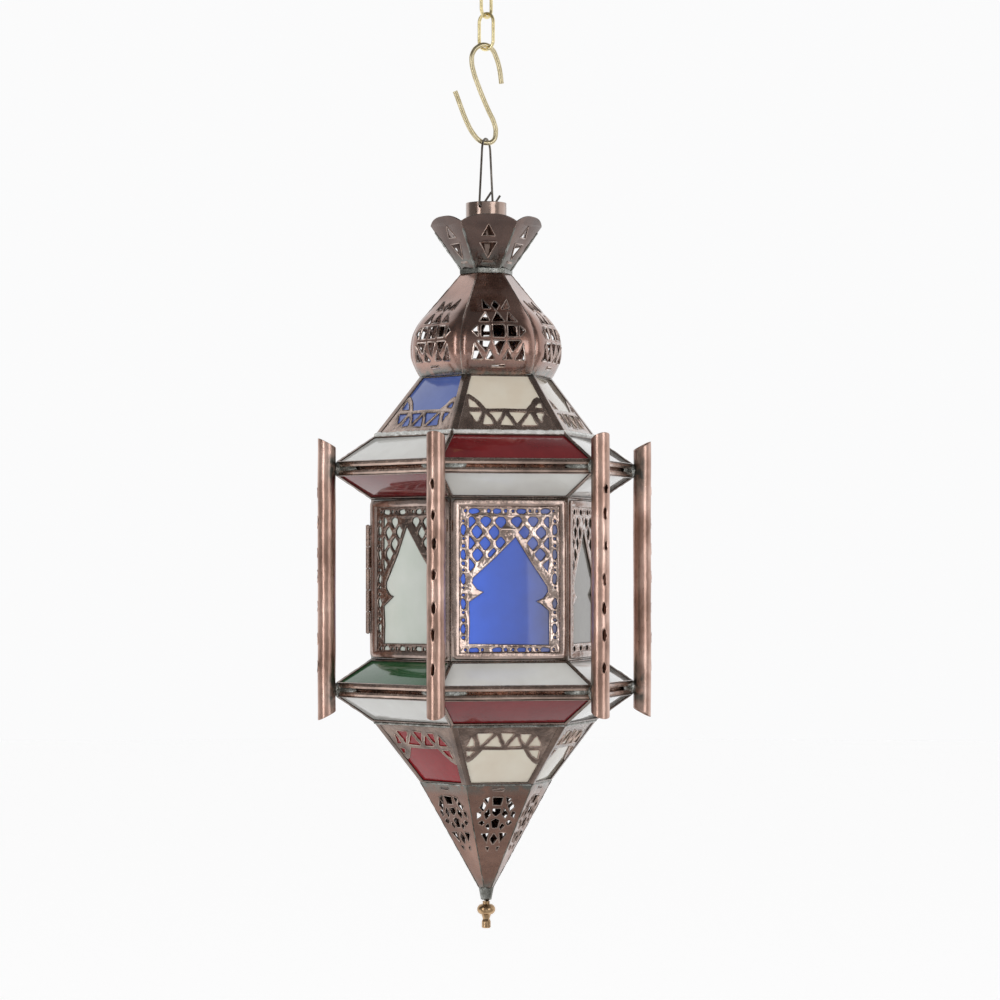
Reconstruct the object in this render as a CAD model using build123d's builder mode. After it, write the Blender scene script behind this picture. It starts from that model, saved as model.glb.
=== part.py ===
from build123d import *
from collections import namedtuple
from math import asin, atan2, cos, degrees, hypot, radians, sin, sqrt, tan
import os

# A six-sided hanging lantern of soldered copper sheet, came and glass, in millimetres.
# The origin is the inside top of the upper chain link, where the lantern hangs, and +Z is up.
# A side's number of degrees is its turn about Z from the front side, which looks along -Y.

os.makedirs("parts", exist_ok=True)

# Chain, hook and bail
link_wire = 2.3
link_inner_length = 22.5
link_inner_width = 9.5
top_link_turn = 42
lower_link_turn = -48
hook_wire = 3.4
hook_bend = 9.6
hook_drop = 67.5
hook_turn = 7
hook_upper_flare = 13
hook_upper_reach = 26
hook_lower_flare = 25
hook_lower_reach = 32
bail_wire = 1.5
bail_turn = 60
bail_rise = 44.5
bail_shoulder = 8.3
bail_fold = 1.3
bail_arch_share = 0.98
bail_stand_off = 1.15
bail_play = 0.06
tail_inset = 2.8
tail_length = 12
tail_lean = 35
hang_gap = 0.3

# Neck, crown, waist and dome
neck_radius = 14.1
neck_wall = 0.8
neck_hole_drop = 3.5
sheet = 0.8
seam = 0.15
waist_play = 0.15
waist_slope_share = 1.25
waist_height = 3
waist_rim = 1
crown_drop = 18.3
crown_height = 27.8
crown_radius = 38.5
crown_arch = 8.4
dome_height = 70.8
dome_bulge_radius = 52.3
dome_curve = 30

# Tiers of glass, from the throat under the dome to the throat over the spike
throat_radius = 46.5
canopy_height = 41.6
canopy_radius = 79
eave_height = 17.7
band_radius = 105.2
band_height = 9.5
rail_height = 3.9
rail_depth = 5
slit_end = 12
soffit_height = 16
box_radius = 81
box_height = 109.2
spike_height = 73.6
spike_end_radius = 5

# Cames, frames, glass and pierced screens
came_depth = 3.6
came_width = 3.2
came_lip = 0.5
came_wall = 0.4
came_hold = 0.7
frame_depth = 5
frame_width = 6
frame_lip = 1
glass = 2
screen = 0.5
pane_play = 0.1

# Keyhole and piercings of a window screen
keyhole_apex_drop = 20
keyhole_shoulder_drop = 31
keyhole_shoulder = 27.5
keyhole_cusp_drop = 41
keyhole_cusp = 18.5
keyhole_jamb_drop = 48
keyhole_jamb = 28
keyhole_sill_drop = 70
keyhole_scallop = 3
diamond_width = 6.6
diamond_height = 8.2
diamond_pitch = 10.9
diamond_row = 7.6
diamond_rim = 1.5
border_width = 6.6
slot_length = 7.5
slot_width = 2.8
slot_pitch = 16.8

# Truss of a canopy lattice
truss_border = 4
truss_height = 9
truss_bar = 1.6
truss_bays = 7
horn_height = 10
horn_width = 9

# Split diamond of the crown, tulip motif of the dome and spike
crown_diamond_width = 10
crown_diamond_foot = 8.5
crown_diamond_lower = 11
crown_diamond_upper = 9.5
crown_diamond_bar = 3.2
motif_width = 33
motif_height = 40
dome_motif_rise = 8
spike_motif_width = 26
spike_motif_height = 36
spike_motif_drop = 9
vent_length = 8
vent_width = 1.6
vent_rise = 4

# Columns
column_radius = 6.2
column_wall = 0.8
column_length = 192
column_cut = 30
column_gap = 0.2
column_slot_length = 6
column_slot_width = 2
column_slot_pitch = 20
column_slots = 7

# Door, hinge, candle plate and cup
door_gap = 0.4
knuckle_radius = 1.5
pin_radius = 0.8
pin_play = 0.05
hinge_stand_off = 0.5
hinge_length = 74
hinge_knuckles = 5
knuckle_gap = 0.3
leaf = 0.6
leaf_width = 5
tab_rise = 36
tab_height = 8
tab_width = 4.5
tab_reach = 4
plate = 0.8
plate_play = 0.3
cup_radius = 22
cup_wall = 0.8
cup_height = 14

# Ferrule and finial
ferrule_height = 9
ferrule_top_radius = 5.4
ferrule_end_radius = 3.5
finial_height = 18.6
finial_bead_height = 2
finial_ball_drop = 5.6
finial_ball_radius = 6.3
finial_taper_drop = 9.3
finial_taper_radius = 3.3
finial_stem_drop = 12.3
finial_stem_radius = 2.3
finial_foot_drop = 14
finial_foot_radius = 3.1
finial_edge = 0.6
finial_bead_inset = 1

# Six equal sides: a side's half angle, and what a corner radius gives for its apothem and half side
sides = 6
half_angle = 180 / sides
to_apothem = cos(radians(half_angle))
to_half_side = sin(radians(half_angle))
side_turns = [360 / sides * side for side in range(sides)]
front, right, back_right, back, back_left, left = side_turns

# Heights, from the hanging point down
top_link_bottom = -link_inner_length - link_wire / 2
lower_link_top = -link_inner_length + hang_gap + link_wire / 2
lower_link_bottom = lower_link_top - link_inner_length - link_wire
hook_top = lower_link_bottom + link_wire / 2 + hang_gap + hook_wire / 2
hook_bottom = hook_top - hook_drop
bail_top = hook_bottom + hook_wire / 2 + hang_gap + bail_wire / 2
neck_top = bail_top - bail_rise
bail_hole_z = neck_top - neck_hole_drop
crown_top = neck_top - crown_drop
crown_foot = crown_top - crown_height
waist_foot = crown_foot - waist_height
dome_foot = waist_foot - dome_height
canopy_foot = dome_foot - canopy_height
upper_band_top = canopy_foot - eave_height
upper_band_foot = upper_band_top - band_height
box_top = upper_band_foot - soffit_height
box_foot = box_top - box_height
lower_band_top = box_foot - soffit_height
lower_band_foot = lower_band_top - band_height
lower_canopy_top = lower_band_foot - eave_height
spike_top = lower_canopy_top - canopy_height
spike_foot = spike_top - spike_height
ferrule_foot = spike_foot - ferrule_height

# The waist clears the neck tube by the thickness of the sloping sheet
waist_apothem = neck_radius + waist_play + waist_slope_share * sheet
waist_radius = waist_apothem / to_apothem

Tier = namedtuple("Tier", "top_radius top_z foot_radius foot_z")
crown = Tier(crown_radius, crown_top, waist_radius, crown_foot)
upper_canopy = Tier(throat_radius, dome_foot, canopy_radius, canopy_foot)
upper_eave = Tier(canopy_radius, canopy_foot, band_radius, upper_band_top)
upper_soffit = Tier(band_radius, upper_band_foot, box_radius, box_top)
window = Tier(box_radius, box_top, box_radius, box_foot)
door = Tier(box_radius, box_top - door_gap, box_radius, box_foot + door_gap)
lower_soffit = Tier(box_radius, box_foot, band_radius, lower_band_top)
lower_eave = Tier(band_radius, lower_band_foot, canopy_radius, lower_canopy_top)
lower_canopy = Tier(canopy_radius, lower_canopy_top, throat_radius, spike_top)
spike = Tier(throat_radius, spike_top, spike_end_radius, spike_foot)

# Radial section of the front side: x is the distance from the axis, y is the height
section = Plane(origin=(0, 0, 0), x_dir=(0, -1, 0), z_dir=(-1, 0, 0))


def keep(builder, name):
    """Label a finished piece and write it as its own file."""
    builder.part.label = name
    export_step(builder.part, f"parts/{name}.step")


def upright(turn, z):
    """A vertical plane through the axis, turned about Z, with its origin at height z."""
    across = (cos(radians(turn)), sin(radians(turn)), 0)
    return Plane(origin=(0, 0, z), x_dir=across, z_dir=(across[1], -across[0], 0))


def on_circle(centre, radius, angle):
    """The point of a circle at an angle in degrees."""
    return (centre[0] + radius * cos(radians(angle)), centre[1] + radius * sin(radians(angle)))


def slope_length(tier):
    """Length of a side of the tier, down its slope."""
    return hypot((tier.foot_radius - tier.top_radius) * to_apothem, tier.top_z - tier.foot_z)


def face_plane(tier):
    """Outer face of the tier's front side: x runs to the right, y runs up the slope."""
    reach = (tier.top_radius + tier.foot_radius) / 2 * to_apothem
    rise = tier.top_z - tier.foot_z
    spread = (tier.foot_radius - tier.top_radius) * to_apothem
    centre = (0, -reach, (tier.top_z + tier.foot_z) / 2)
    return Plane(origin=centre, x_dir=(1, 0, 0), z_dir=(0, -rise, spread))


def half_width(tier, height, inset):
    """Half the width of a side at a height up its slope from the middle, inset from its edges."""
    foot = tier.foot_radius * to_half_side
    top = tier.top_radius * to_half_side
    lean = (top - foot) / slope_length(tier)
    return (foot + top) / 2 + lean * height - inset * hypot(1, lean)


def outline(tier, inset, wide_inset):
    """Corners of a side's face, inset from its edges, with its own inset at the tier's wide end."""
    wide_up = tier.top_radius > tier.foot_radius
    foot = -slope_length(tier) / 2 + (inset if wide_up else wide_inset)
    top = slope_length(tier) / 2 - (wide_inset if wide_up else inset)
    foot_half = half_width(tier, foot, inset)
    top_half = half_width(tier, top, inset)
    return [(-foot_half, foot), (foot_half, foot), (top_half, top), (-top_half, top)]


def mitre(gap):
    """Cut the piece in hand at the two hips beside the front side, leaving a gap between sides."""
    for hand in (1, -1):
        normal = Vector(hand * to_apothem, to_half_side, 0)
        hip = Plane(origin=normal * (-gap / 2), x_dir=(0, 0, 1), z_dir=normal)
        split(bisect_by=hip, keep=Keep.BOTTOM)


def level_depth(tier, depth):
    """What a wall of this thickness measures along the level."""
    return depth * slope_length(tier) / (tier.top_z - tier.foot_z)


def slab(tier, depth, gap=seam):
    """A tier's front side as a mitred slab, with level top and foot."""
    inward = level_depth(tier, depth)
    top = tier.top_radius * to_apothem
    foot = tier.foot_radius * to_apothem
    with BuildPart() as side:
        with BuildSketch(section):
            Polygon(
                (foot - inward, tier.foot_z),
                (foot, tier.foot_z),
                (top, tier.top_z),
                (top - inward, tier.top_z),
                align=None,
            )
        extrude(amount=max(tier.top_radius, tier.foot_radius), both=True)
        mitre(gap)
    return side.part


def groove_insets(tier, lip, filling, play=0):
    """How far a groove stays inside the edges, and inside the wide end, so that each keeps a wall."""
    depth = lip + filling + 2 * pane_play
    spread = abs(tier.foot_radius - tier.top_radius) * to_apothem
    mitre_inset = depth * tan(radians(half_angle))
    level_inset = depth * spread / (tier.top_z - tier.foot_z)
    return mitre_inset + came_wall + play, max(mitre_inset, level_inset) + came_wall + play


def opening_insets(tier, width, lip, filling):
    """Insets of a came's opening, which covers the edges of its filling."""
    wide_groove = groove_insets(tier, lip, filling)[1]
    return width, max(width, wide_groove + came_hold)


def came(tier, depth, width, lip, filling, gap=seam):
    """A frame for one side, with a groove that holds its filling of sheet and glass."""
    plane = face_plane(tier)
    with BuildPart() as frame:
        add(slab(tier, depth, gap))
        with BuildSketch(plane):
            Polygon(*outline(tier, *opening_insets(tier, width, lip, filling)), align=None)
        extrude(amount=depth, both=True, mode=Mode.SUBTRACT)
        with BuildSketch(plane.offset(-lip)):
            Polygon(*outline(tier, *groove_insets(tier, lip, filling)), align=None)
        extrude(amount=-filling - 2 * pane_play, mode=Mode.SUBTRACT)
    return frame.part


def pane(tier, lip, filling, depth, thickness):
    """A sheet that sits in the groove of a came, its face this deep under the outer face."""
    with BuildPart() as sheet_in_groove:
        with BuildSketch(face_plane(tier).offset(-depth)):
            Polygon(*outline(tier, *groove_insets(tier, lip, filling, pane_play)), align=None)
        extrude(amount=-thickness)
    return sheet_in_groove.part


def around(part, turns=side_turns):
    """Copies of a front piece at the given turns about the axis."""
    with BuildPart() as ring:
        with Locations(*[Location((0, 0, 0), (0, 0, turn)) for turn in turns]):
            add(part)
    return ring


def mirrored(points):
    """The same outline on the other hand."""
    return [(-x, y) for x, y in reversed(points)]


def both_hands(outlines):
    """Outlines, each with its mirror image unless it is its own."""
    paired = []
    for points in outlines:
        paired.append(points)
        if any(all(abs(x + u) + abs(y - v) > 0.001 for u, v in points) for x, y in points):
            paired.append(mirrored(points))
    return paired


# Two chain links, each a bent round wire
def chain_link(turn, top_centre):
    bend = (link_inner_width + link_wire) / 2
    leg = (link_inner_length + link_wire) / 2 - bend
    plane = upright(turn, top_centre - bend - leg)
    with BuildPart() as link:
        with BuildLine(plane) as centre_line:
            Line((bend, -leg), (bend, leg))
            ThreePointArc((bend, leg), (0, leg + bend), (-bend, leg))
            Line((-bend, leg), (-bend, -leg))
            ThreePointArc((-bend, -leg), (0, -leg - bend), (bend, -leg))
        with BuildSketch(Plane(origin=centre_line.line @ 0, z_dir=centre_line.line % 0)):
            Circle(link_wire / 2)
        sweep()
    return link


keep(chain_link(top_link_turn, link_wire / 2), "chain_link_top")
keep(chain_link(lower_link_turn, lower_link_top), "chain_link_lower")

# S-hook: two bends joined by their crossing tangent, with flared tips
upper_centre = (0, -hook_bend)
lower_centre = (0, -hook_drop + hook_bend)
hook_slant = degrees(asin(2 * hook_bend / (hook_drop - 2 * hook_bend)))
upper_start = on_circle(upper_centre, hook_bend, hook_upper_flare)
upper_end = on_circle(upper_centre, hook_bend, 180 + hook_slant)
lower_start = on_circle(lower_centre, hook_bend, hook_slant)
lower_end = on_circle(lower_centre, hook_bend, 180 + hook_lower_flare)
upper_tip_drop = hook_upper_reach + upper_start[1]
lower_tip_climb = hook_lower_reach - hook_drop - lower_end[1]
upper_tip = (
    upper_start[0] + upper_tip_drop * tan(radians(hook_upper_flare)),
    upper_start[1] - upper_tip_drop,
)
lower_tip = (
    lower_end[0] - lower_tip_climb * tan(radians(hook_lower_flare)),
    lower_end[1] + lower_tip_climb,
)
with BuildPart() as s_hook:
    with BuildLine(upright(hook_turn, hook_top)) as hook_line:
        Line(upper_tip, upper_start)
        ThreePointArc(upper_start, (0, 0), upper_end)
        Line(upper_end, lower_start)
        ThreePointArc(lower_start, (0, -hook_drop), lower_end)
        Line(lower_end, lower_tip)
    with BuildSketch(Plane(origin=hook_line.line @ 0, z_dir=hook_line.line % 0)):
        Circle(hook_wire / 2)
    sweep()
keep(s_hook, "s_hook")

# Bail: one wire over the hook, down both sides of the neck, in through a hole and up inside it
bail_out = neck_radius + bail_stand_off + bail_wire / 2
bail_in = neck_radius - neck_wall - tail_inset
bail_lean = degrees(atan2(bail_out - bail_shoulder, bail_rise + neck_hole_drop))
bail_arch = bail_arch_share * bail_shoulder / tan(radians((90 - bail_lean) / 2))
bail_along = Vector(cos(radians(bail_turn)), sin(radians(bail_turn)), 0)
bail_across = Vector(sin(radians(bail_turn)), -cos(radians(bail_turn)), 0)


def bail_point(along, across, z):
    return bail_along * along + bail_across * across + Vector(0, 0, z)


tail_across = tail_length * sin(radians(tail_lean))
tail_z = bail_hole_z + tail_length * cos(radians(tail_lean))
with BuildPart() as bail_wire_piece:
    with BuildLine() as bail_line:
        FilletPolyline(
            bail_point(-bail_in, tail_across, tail_z),
            bail_point(-bail_in, 0, bail_hole_z),
            bail_point(-bail_out, 0, bail_hole_z),
            bail_point(-bail_shoulder, 0, bail_top),
            bail_point(bail_shoulder, 0, bail_top),
            bail_point(bail_out, 0, bail_hole_z),
            bail_point(bail_in, 0, bail_hole_z),
            bail_point(bail_in, tail_across, tail_z),
            radius=[bail_fold, bail_fold, bail_arch, bail_arch, bail_fold, bail_fold],
        )
    with BuildSketch(Plane(origin=bail_line.line @ 0, z_dir=bail_line.line % 0)):
        Circle(bail_wire / 2)
    sweep()
keep(bail_wire_piece, "bail_wire")

# Neck tube, pierced on two sides for the bail
with BuildPart() as neck_tube:
    with BuildSketch(Plane.XY.offset(waist_foot)):
        Circle(neck_radius)
        Circle(neck_radius - neck_wall, mode=Mode.SUBTRACT)
    extrude(amount=neck_top - waist_foot)
    with BuildSketch(Plane(origin=(0, 0, bail_hole_z), z_dir=bail_along)):
        Circle(bail_wire / 2 + bail_play)
    extrude(amount=2 * neck_radius, both=True, mode=Mode.SUBTRACT)
keep(neck_tube, "neck_tube")

# Crown: six flared petals with arched tops and a split diamond in each
crown_slope = slope_length(crown)
crown_growth = 1 + crown_arch / crown_slope
crown_reach = Tier(
    waist_radius + (crown_radius - waist_radius) * crown_growth,
    crown_foot + crown_height * crown_growth,
    waist_radius,
    crown_foot,
)
crown_edge = crown_radius * to_half_side
diamond_low = -crown_slope / 2 + crown_diamond_foot
diamond_split = diamond_low + crown_diamond_lower
diamond_high = diamond_split + crown_diamond_bar
with BuildPart() as crown_petal:
    add(slab(crown_reach, sheet))
    with BuildSketch(face_plane(crown)):
        with BuildLine():
            Polyline(
                (-crown_edge, crown_slope / 2),
                (-crown_edge, -crown_slope),
                (crown_edge, -crown_slope),
                (crown_edge, crown_slope / 2),
            )
            ThreePointArc(
                (crown_edge, crown_slope / 2),
                (0, crown_slope / 2 + crown_arch),
                (-crown_edge, crown_slope / 2),
            )
        make_face()
    extrude(amount=4 * sheet, both=True, mode=Mode.INTERSECT)
    with BuildSketch(face_plane(crown)):
        Polygon(
            (0, diamond_low),
            (crown_diamond_width / 2, diamond_split),
            (-crown_diamond_width / 2, diamond_split),
            align=None,
        )
        Polygon(
            (-crown_diamond_width / 2, diamond_high),
            (crown_diamond_width / 2, diamond_high),
            (0, diamond_high + crown_diamond_upper),
            align=None,
        )
    extrude(amount=4 * sheet, both=True, mode=Mode.SUBTRACT)
keep(around(crown_petal.part), "crown_petals")

# Waist collar, soldered round the neck tube between the crown and the dome
with BuildPart() as waist_collar:
    with BuildSketch(Plane.XY.offset(waist_foot)):
        RegularPolygon(waist_radius + waist_rim, sides)
        Circle(neck_radius + waist_play, mode=Mode.SUBTRACT)
    extrude(amount=waist_height)
keep(waist_collar, "waist_collar")

# Tulip motif in shares of its width and height, foot at zero: half of it and its middle holes
motif_half = [
    [(0.36, 0.02), (0.5, 0.02), (0.47, 0.14)],
    [(0.17, 0.03), (0.31, 0.03), (0.24, 0.15)],
    [(0.12, 0.24), (0.35, 0.24), (0.22, 0.08)],
    [(0.17, 0.34), (0.44, 0.34), (0.36, 0.48), (0.17, 0.48)],
    [(0.2, 0.55), (0.4, 0.55), (0.22, 0.7)],
    [(0.1, 0.78), (0.3, 0.78), (0.26, 0.96)],
]
motif_middle = [
    [(-0.09, 0.24), (0.0, 0.06), (0.09, 0.24)],
    [(-0.12, 0.33), (0.12, 0.33), (0.12, 0.48), (-0.12, 0.48)],
    [(-0.13, 0.55), (0.13, 0.55), (0.0, 0.73)],
    [(-0.05, 0.9), (0.0, 0.78), (0.05, 0.9)],
]


def motif_outlines(width, height, foot, direction):
    """The motif's holes on a face, from its foot line, growing up (1) or down (-1)."""
    outlines = []
    for points in both_hands(motif_half) + motif_middle:
        outlines.append([(x * width, foot + direction * y * height) for x, y in points])
    return outlines


# Dome: six bent petals, a straight slope that turns into an arc and back in to the throat
throat_apothem = throat_radius * to_apothem
bulge_apothem = dome_bulge_radius * to_apothem
curve_x = bulge_apothem - dome_curve
curve_z = dome_foot + sqrt(dome_curve**2 - (throat_apothem - curve_x) ** 2)
petal_head = (waist_apothem, waist_foot)
to_curve = hypot(curve_x - waist_apothem, waist_foot - curve_z)
petal_lean = degrees(asin(dome_curve / to_curve) + atan2(curve_x - waist_apothem, waist_foot - curve_z))


def dome_line(depth):
    """Head, tangent point, mid-arc and foot of the petal's surface at a depth under its face."""
    inward = depth / cos(radians(petal_lean))
    tangent = on_circle((curve_x, curve_z), dome_curve - depth, petal_lean)
    bulge = (curve_x + dome_curve - depth, curve_z)
    foot = (curve_x + sqrt((dome_curve - depth) ** 2 - (curve_z - dome_foot) ** 2), dome_foot)
    return (petal_head[0] - inward, petal_head[1]), tangent, bulge, foot


with BuildPart() as dome_petal:
    with BuildSketch(section):
        with BuildLine():
            head, tangent, bulge, foot = dome_line(0)
            inner_head, inner_tangent, inner_bulge, inner_foot = dome_line(sheet)
            Line(head, tangent)
            ThreePointArc(tangent, bulge, foot)
            Line(foot, inner_foot)
            ThreePointArc(inner_foot, inner_bulge, inner_tangent)
            Line(inner_tangent, inner_head)
            Line(inner_head, head)
        make_face()
    extrude(amount=dome_bulge_radius, both=True)
    mitre(seam)
    with BuildSketch(Plane(origin=(0, 0, dome_foot), x_dir=(1, 0, 0), z_dir=(0, -1, 0))):
        for points in motif_outlines(motif_width, motif_height, dome_motif_rise, 1):
            Polygon(*points, align=None)
        with Locations((0, vent_rise)):
            Rectangle(vent_length, vent_width)
    extrude(amount=2 * dome_bulge_radius, mode=Mode.SUBTRACT)
for number, turn in enumerate(side_turns, 1):
    keep(around(dome_petal.part, [turn]), f"dome_petal_{number}")


# Lattice of a canopy: a border, a truss of leaning bars, a rail and a horn at each end
def lattice(tier, wide_end):
    """A pierced sheet over the wide end of a canopy side, which is up (1) or down (-1)."""
    filling = screen + glass
    side_inset, end_inset = groove_insets(tier, came_lip, filling, pane_play)
    edge = slope_length(tier) / 2 - end_inset
    opening_inset = opening_insets(tier, came_width, came_lip, filling)[1]
    border_end = slope_length(tier) / 2 - opening_inset - truss_border
    truss_end = border_end - truss_height
    rail_end = truss_end - truss_bar
    horn_end = rail_end - horn_height

    def at(x, y):
        return (x, wide_end * y)

    def reach(y):
        return half_width(tier, wide_end * y, side_inset)

    def clear(y):
        return half_width(tier, wide_end * y, came_width + truss_bar)

    with BuildPart() as pierced:
        with BuildSketch(face_plane(tier).offset(-came_lip - pane_play)):
            Polygon(
                at(-reach(edge), edge),
                at(reach(edge), edge),
                at(reach(horn_end), horn_end),
                at(reach(horn_end) - horn_width / 3, horn_end),
                at(reach(rail_end) - horn_width, rail_end),
                at(-reach(rail_end) + horn_width, rail_end),
                at(-reach(horn_end) + horn_width / 3, horn_end),
                at(-reach(horn_end), horn_end),
                align=None,
            )
            bay = 2 * clear(truss_end) / (truss_bays + 1)
            slant = truss_bar * hypot(1, truss_height / bay) / (truss_height / bay)
            for index in range(truss_bays):
                middle = (index - (truss_bays - 1) / 2) * bay
                base, tip = (border_end, truss_end) if index % 2 else (truss_end, border_end)
                Polygon(
                    at(middle - bay + slant, base),
                    at(middle + bay - slant, base),
                    at(middle, tip),
                    align=None,
                    mode=Mode.SUBTRACT,
                )
            for hand in (1, -1):
                Polygon(
                    at(hand * (clear(rail_end) - horn_width + 3 * truss_bar), rail_end - truss_bar),
                    at(hand * clear(rail_end), rail_end - truss_bar),
                    at(hand * (clear(horn_end) - truss_bar), horn_end + 2 * truss_bar),
                    align=None,
                    mode=Mode.SUBTRACT,
                )
        extrude(amount=-screen)
    return pierced.part


# Glazed tiers: each side is a came that holds its glass, with a lattice over the glass of a canopy
Glazing = namedtuple("Glazing", "name tier wide_end colours")
glazed_tiers = [
    Glazing("upper_canopy", upper_canopy, -1, {
        "clear": [front, right, back, back_left], "blue": [left], "red": [back_right]}),
    Glazing("upper_eave", upper_eave, 0, {
        "clear": [right, back, left], "red": [front, back_right, back_left]}),
    Glazing("upper_soffit", upper_soffit, 0, {
        "clear": [front, right, back, back_left], "red": [left, back_right]}),
    Glazing("lower_soffit", lower_soffit, 0, {
        "clear": [front, right, back, back_left], "green": [left, back_right]}),
    Glazing("lower_eave", lower_eave, 0, {
        "clear": [right, back, left], "red": [front, back_right, back_left]}),
    Glazing("lower_canopy", lower_canopy, 1, {
        "clear": [front, right, back, back_left], "red": [left], "blue": [back_right]}),
]
for name, tier, wide_end, colours in glazed_tiers:
    cover = screen if wide_end else 0
    filling = cover + glass
    keep(around(came(tier, came_depth, came_width, came_lip, filling)), f"{name}_came")
    if wide_end:
        keep(around(lattice(tier, wide_end)), f"{name}_lattice")
    tier_pane = pane(tier, came_lip, filling, came_lip + pane_play + cover, glass)
    for colour, turns in colours.items():
        keep(around(tier_pane, turns), f"{name}_glass_{colour}")


# Bands: two half-round rails on each of the six sides, joined at their ends, with a slit between them
def band_side(top_z):
    face = band_radius * to_apothem
    bead = rail_height / 2
    foot_z = top_z - band_height
    with BuildPart() as side:
        with BuildSketch(section):
            with BuildLine():
                Line((face - rail_depth, foot_z), (face - bead, foot_z))
                ThreePointArc((face - bead, foot_z), (face, foot_z + bead), (face - bead, foot_z + 2 * bead))
                Line((face - bead, foot_z + 2 * bead), (face - bead, top_z - 2 * bead))
                ThreePointArc((face - bead, top_z - 2 * bead), (face, top_z - bead), (face - bead, top_z))
                Line((face - bead, top_z), (face - rail_depth, top_z))
                Line((face - rail_depth, top_z), (face - rail_depth, foot_z))
            make_face()
        extrude(amount=band_radius, both=True)
        mitre(seam)
        with BuildSketch(section):
            with Locations((face - rail_depth / 2, top_z - band_height / 2)):
                Rectangle(rail_depth, band_height - 2 * rail_height)
        extrude(amount=band_radius * to_half_side - slit_end, both=True, mode=Mode.SUBTRACT)
    return side.part


keep(around(band_side(upper_band_top)), "upper_band_rails")
keep(around(band_side(lower_band_top)), "lower_band_rails")


# Window screens: a border of slots, a field of diamonds over a keyhole arch
def window_screen(tier):
    apex = box_height / 2 - frame_width - keyhole_apex_drop
    shoulder = (keyhole_shoulder, apex - keyhole_shoulder_drop)
    cusp = (keyhole_cusp, apex - keyhole_cusp_drop)
    jamb = (keyhole_jamb, apex - keyhole_jamb_drop)
    sill = (keyhole_jamb, apex - keyhole_sill_drop)
    dip = ((shoulder[0] + cusp[0]) / 2 + keyhole_scallop, (shoulder[1] + cusp[1]) / 2 - keyhole_scallop / 2)
    filling = screen + glass
    field_x = box_radius / 2 - frame_width - border_width
    field_top = box_height / 2 - frame_width - border_width
    arch_slope = keyhole_shoulder_drop / keyhole_shoulder
    arch_rim = diamond_rim * hypot(1, arch_slope)
    border_x = box_radius / 2 - frame_width - border_width / 2
    border_y = box_height / 2 - frame_width - border_width / 2
    across = int(2 * field_x / slot_pitch) + 1
    down = int(2 * field_top / slot_pitch) + 1
    columns = 2 * int(field_x / diamond_pitch) + 2
    rows = 2 * int(keyhole_shoulder_drop / diamond_row / 2) + 2
    field_middle = field_top - (rows - 0.5) / 2 * diamond_row - diamond_height / 2
    diamond = [
        (-diamond_width / 2, 0), (0, -diamond_height / 2), (diamond_width / 2, 0), (0, diamond_height / 2)]
    plane = face_plane(tier).offset(-frame_lip - pane_play)
    with BuildSketch(plane) as diamonds:
        for shift in (0, 1):
            centre = ((shift - 0.5) * diamond_pitch / 2, field_middle + (shift - 0.5) * diamond_row)
            with Locations(centre):
                with GridLocations(diamond_pitch, 2 * diamond_row, columns, rows // 2):
                    Polygon(*diamond, align=None)
        Polygon(
            (-field_x, field_top),
            (-field_x, apex + arch_rim - arch_slope * field_x),
            (0, apex + arch_rim),
            (field_x, apex + arch_rim - arch_slope * field_x),
            (field_x, field_top),
            align=None,
            mode=Mode.INTERSECT,
        )
    with BuildPart() as pierced:
        add(pane(tier, frame_lip, filling, frame_lip + pane_play, screen))
        with BuildSketch(plane):
            with BuildLine():
                Polyline((0, apex), shoulder)
                ThreePointArc(shoulder, dip, cusp)
                Polyline(cusp, jamb, sill, (-sill[0], sill[1]), (-jamb[0], jamb[1]), (-cusp[0], cusp[1]))
                ThreePointArc((-cusp[0], cusp[1]), (-dip[0], dip[1]), (-shoulder[0], shoulder[1]))
                Line((-shoulder[0], shoulder[1]), (0, apex))
            make_face()
        extrude(amount=frame_depth, both=True, mode=Mode.SUBTRACT)
        with BuildSketch(plane):
            with GridLocations(slot_pitch, 2 * border_y, across, 2):
                Rectangle(slot_length, slot_width)
            with GridLocations(2 * border_x, slot_pitch, 2, down):
                Rectangle(slot_width, slot_length)
        extrude(amount=frame_depth, both=True, mode=Mode.SUBTRACT)
        smallest = diamond_width * diamond_height / 6
        extrude(
            [face for face in diamonds.sketch.faces() if face.area > smallest],
            amount=frame_depth,
            both=True,
            mode=Mode.SUBTRACT,
        )
    return pierced.part


fixed_windows = [front, right, back_right, back, back_left]
filling = screen + glass
glass_depth = frame_lip + pane_play + screen
keep(around(came(window, frame_depth, frame_width, frame_lip, filling), fixed_windows), "window_frames")
keep(around(window_screen(window), fixed_windows), "window_screens")
window_pane = pane(window, frame_lip, filling, glass_depth, glass)
window_colours = {"clear": [right, back], "blue": [front, back_left], "red": [back_right]}
for colour, turns in window_colours.items():
    keep(around(window_pane, turns), f"window_glass_{colour}")

# Door: the left window, with its own gap all round
keep(around(came(door, frame_depth, frame_width, frame_lip, filling, 2 * door_gap), [left]), "door_frame")
keep(around(window_screen(door), [left]), "door_screen")
keep(around(pane(door, frame_lip, filling, glass_depth, glass), [left]), "door_glass")

# Hinge: knuckles on a pin beside the left corner, each with a leaf on the frame that carries it
hinge_reach = box_radius + hinge_stand_off + knuckle_radius
box_apothem = box_radius * to_apothem
hinge_foot = (box_top + box_foot - hinge_length) / 2
knuckle_pitch = hinge_length / hinge_knuckles
leaf_out = box_apothem + leaf / 2
leaf_along = hinge_reach * to_half_side - leaf_width / 2


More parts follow.
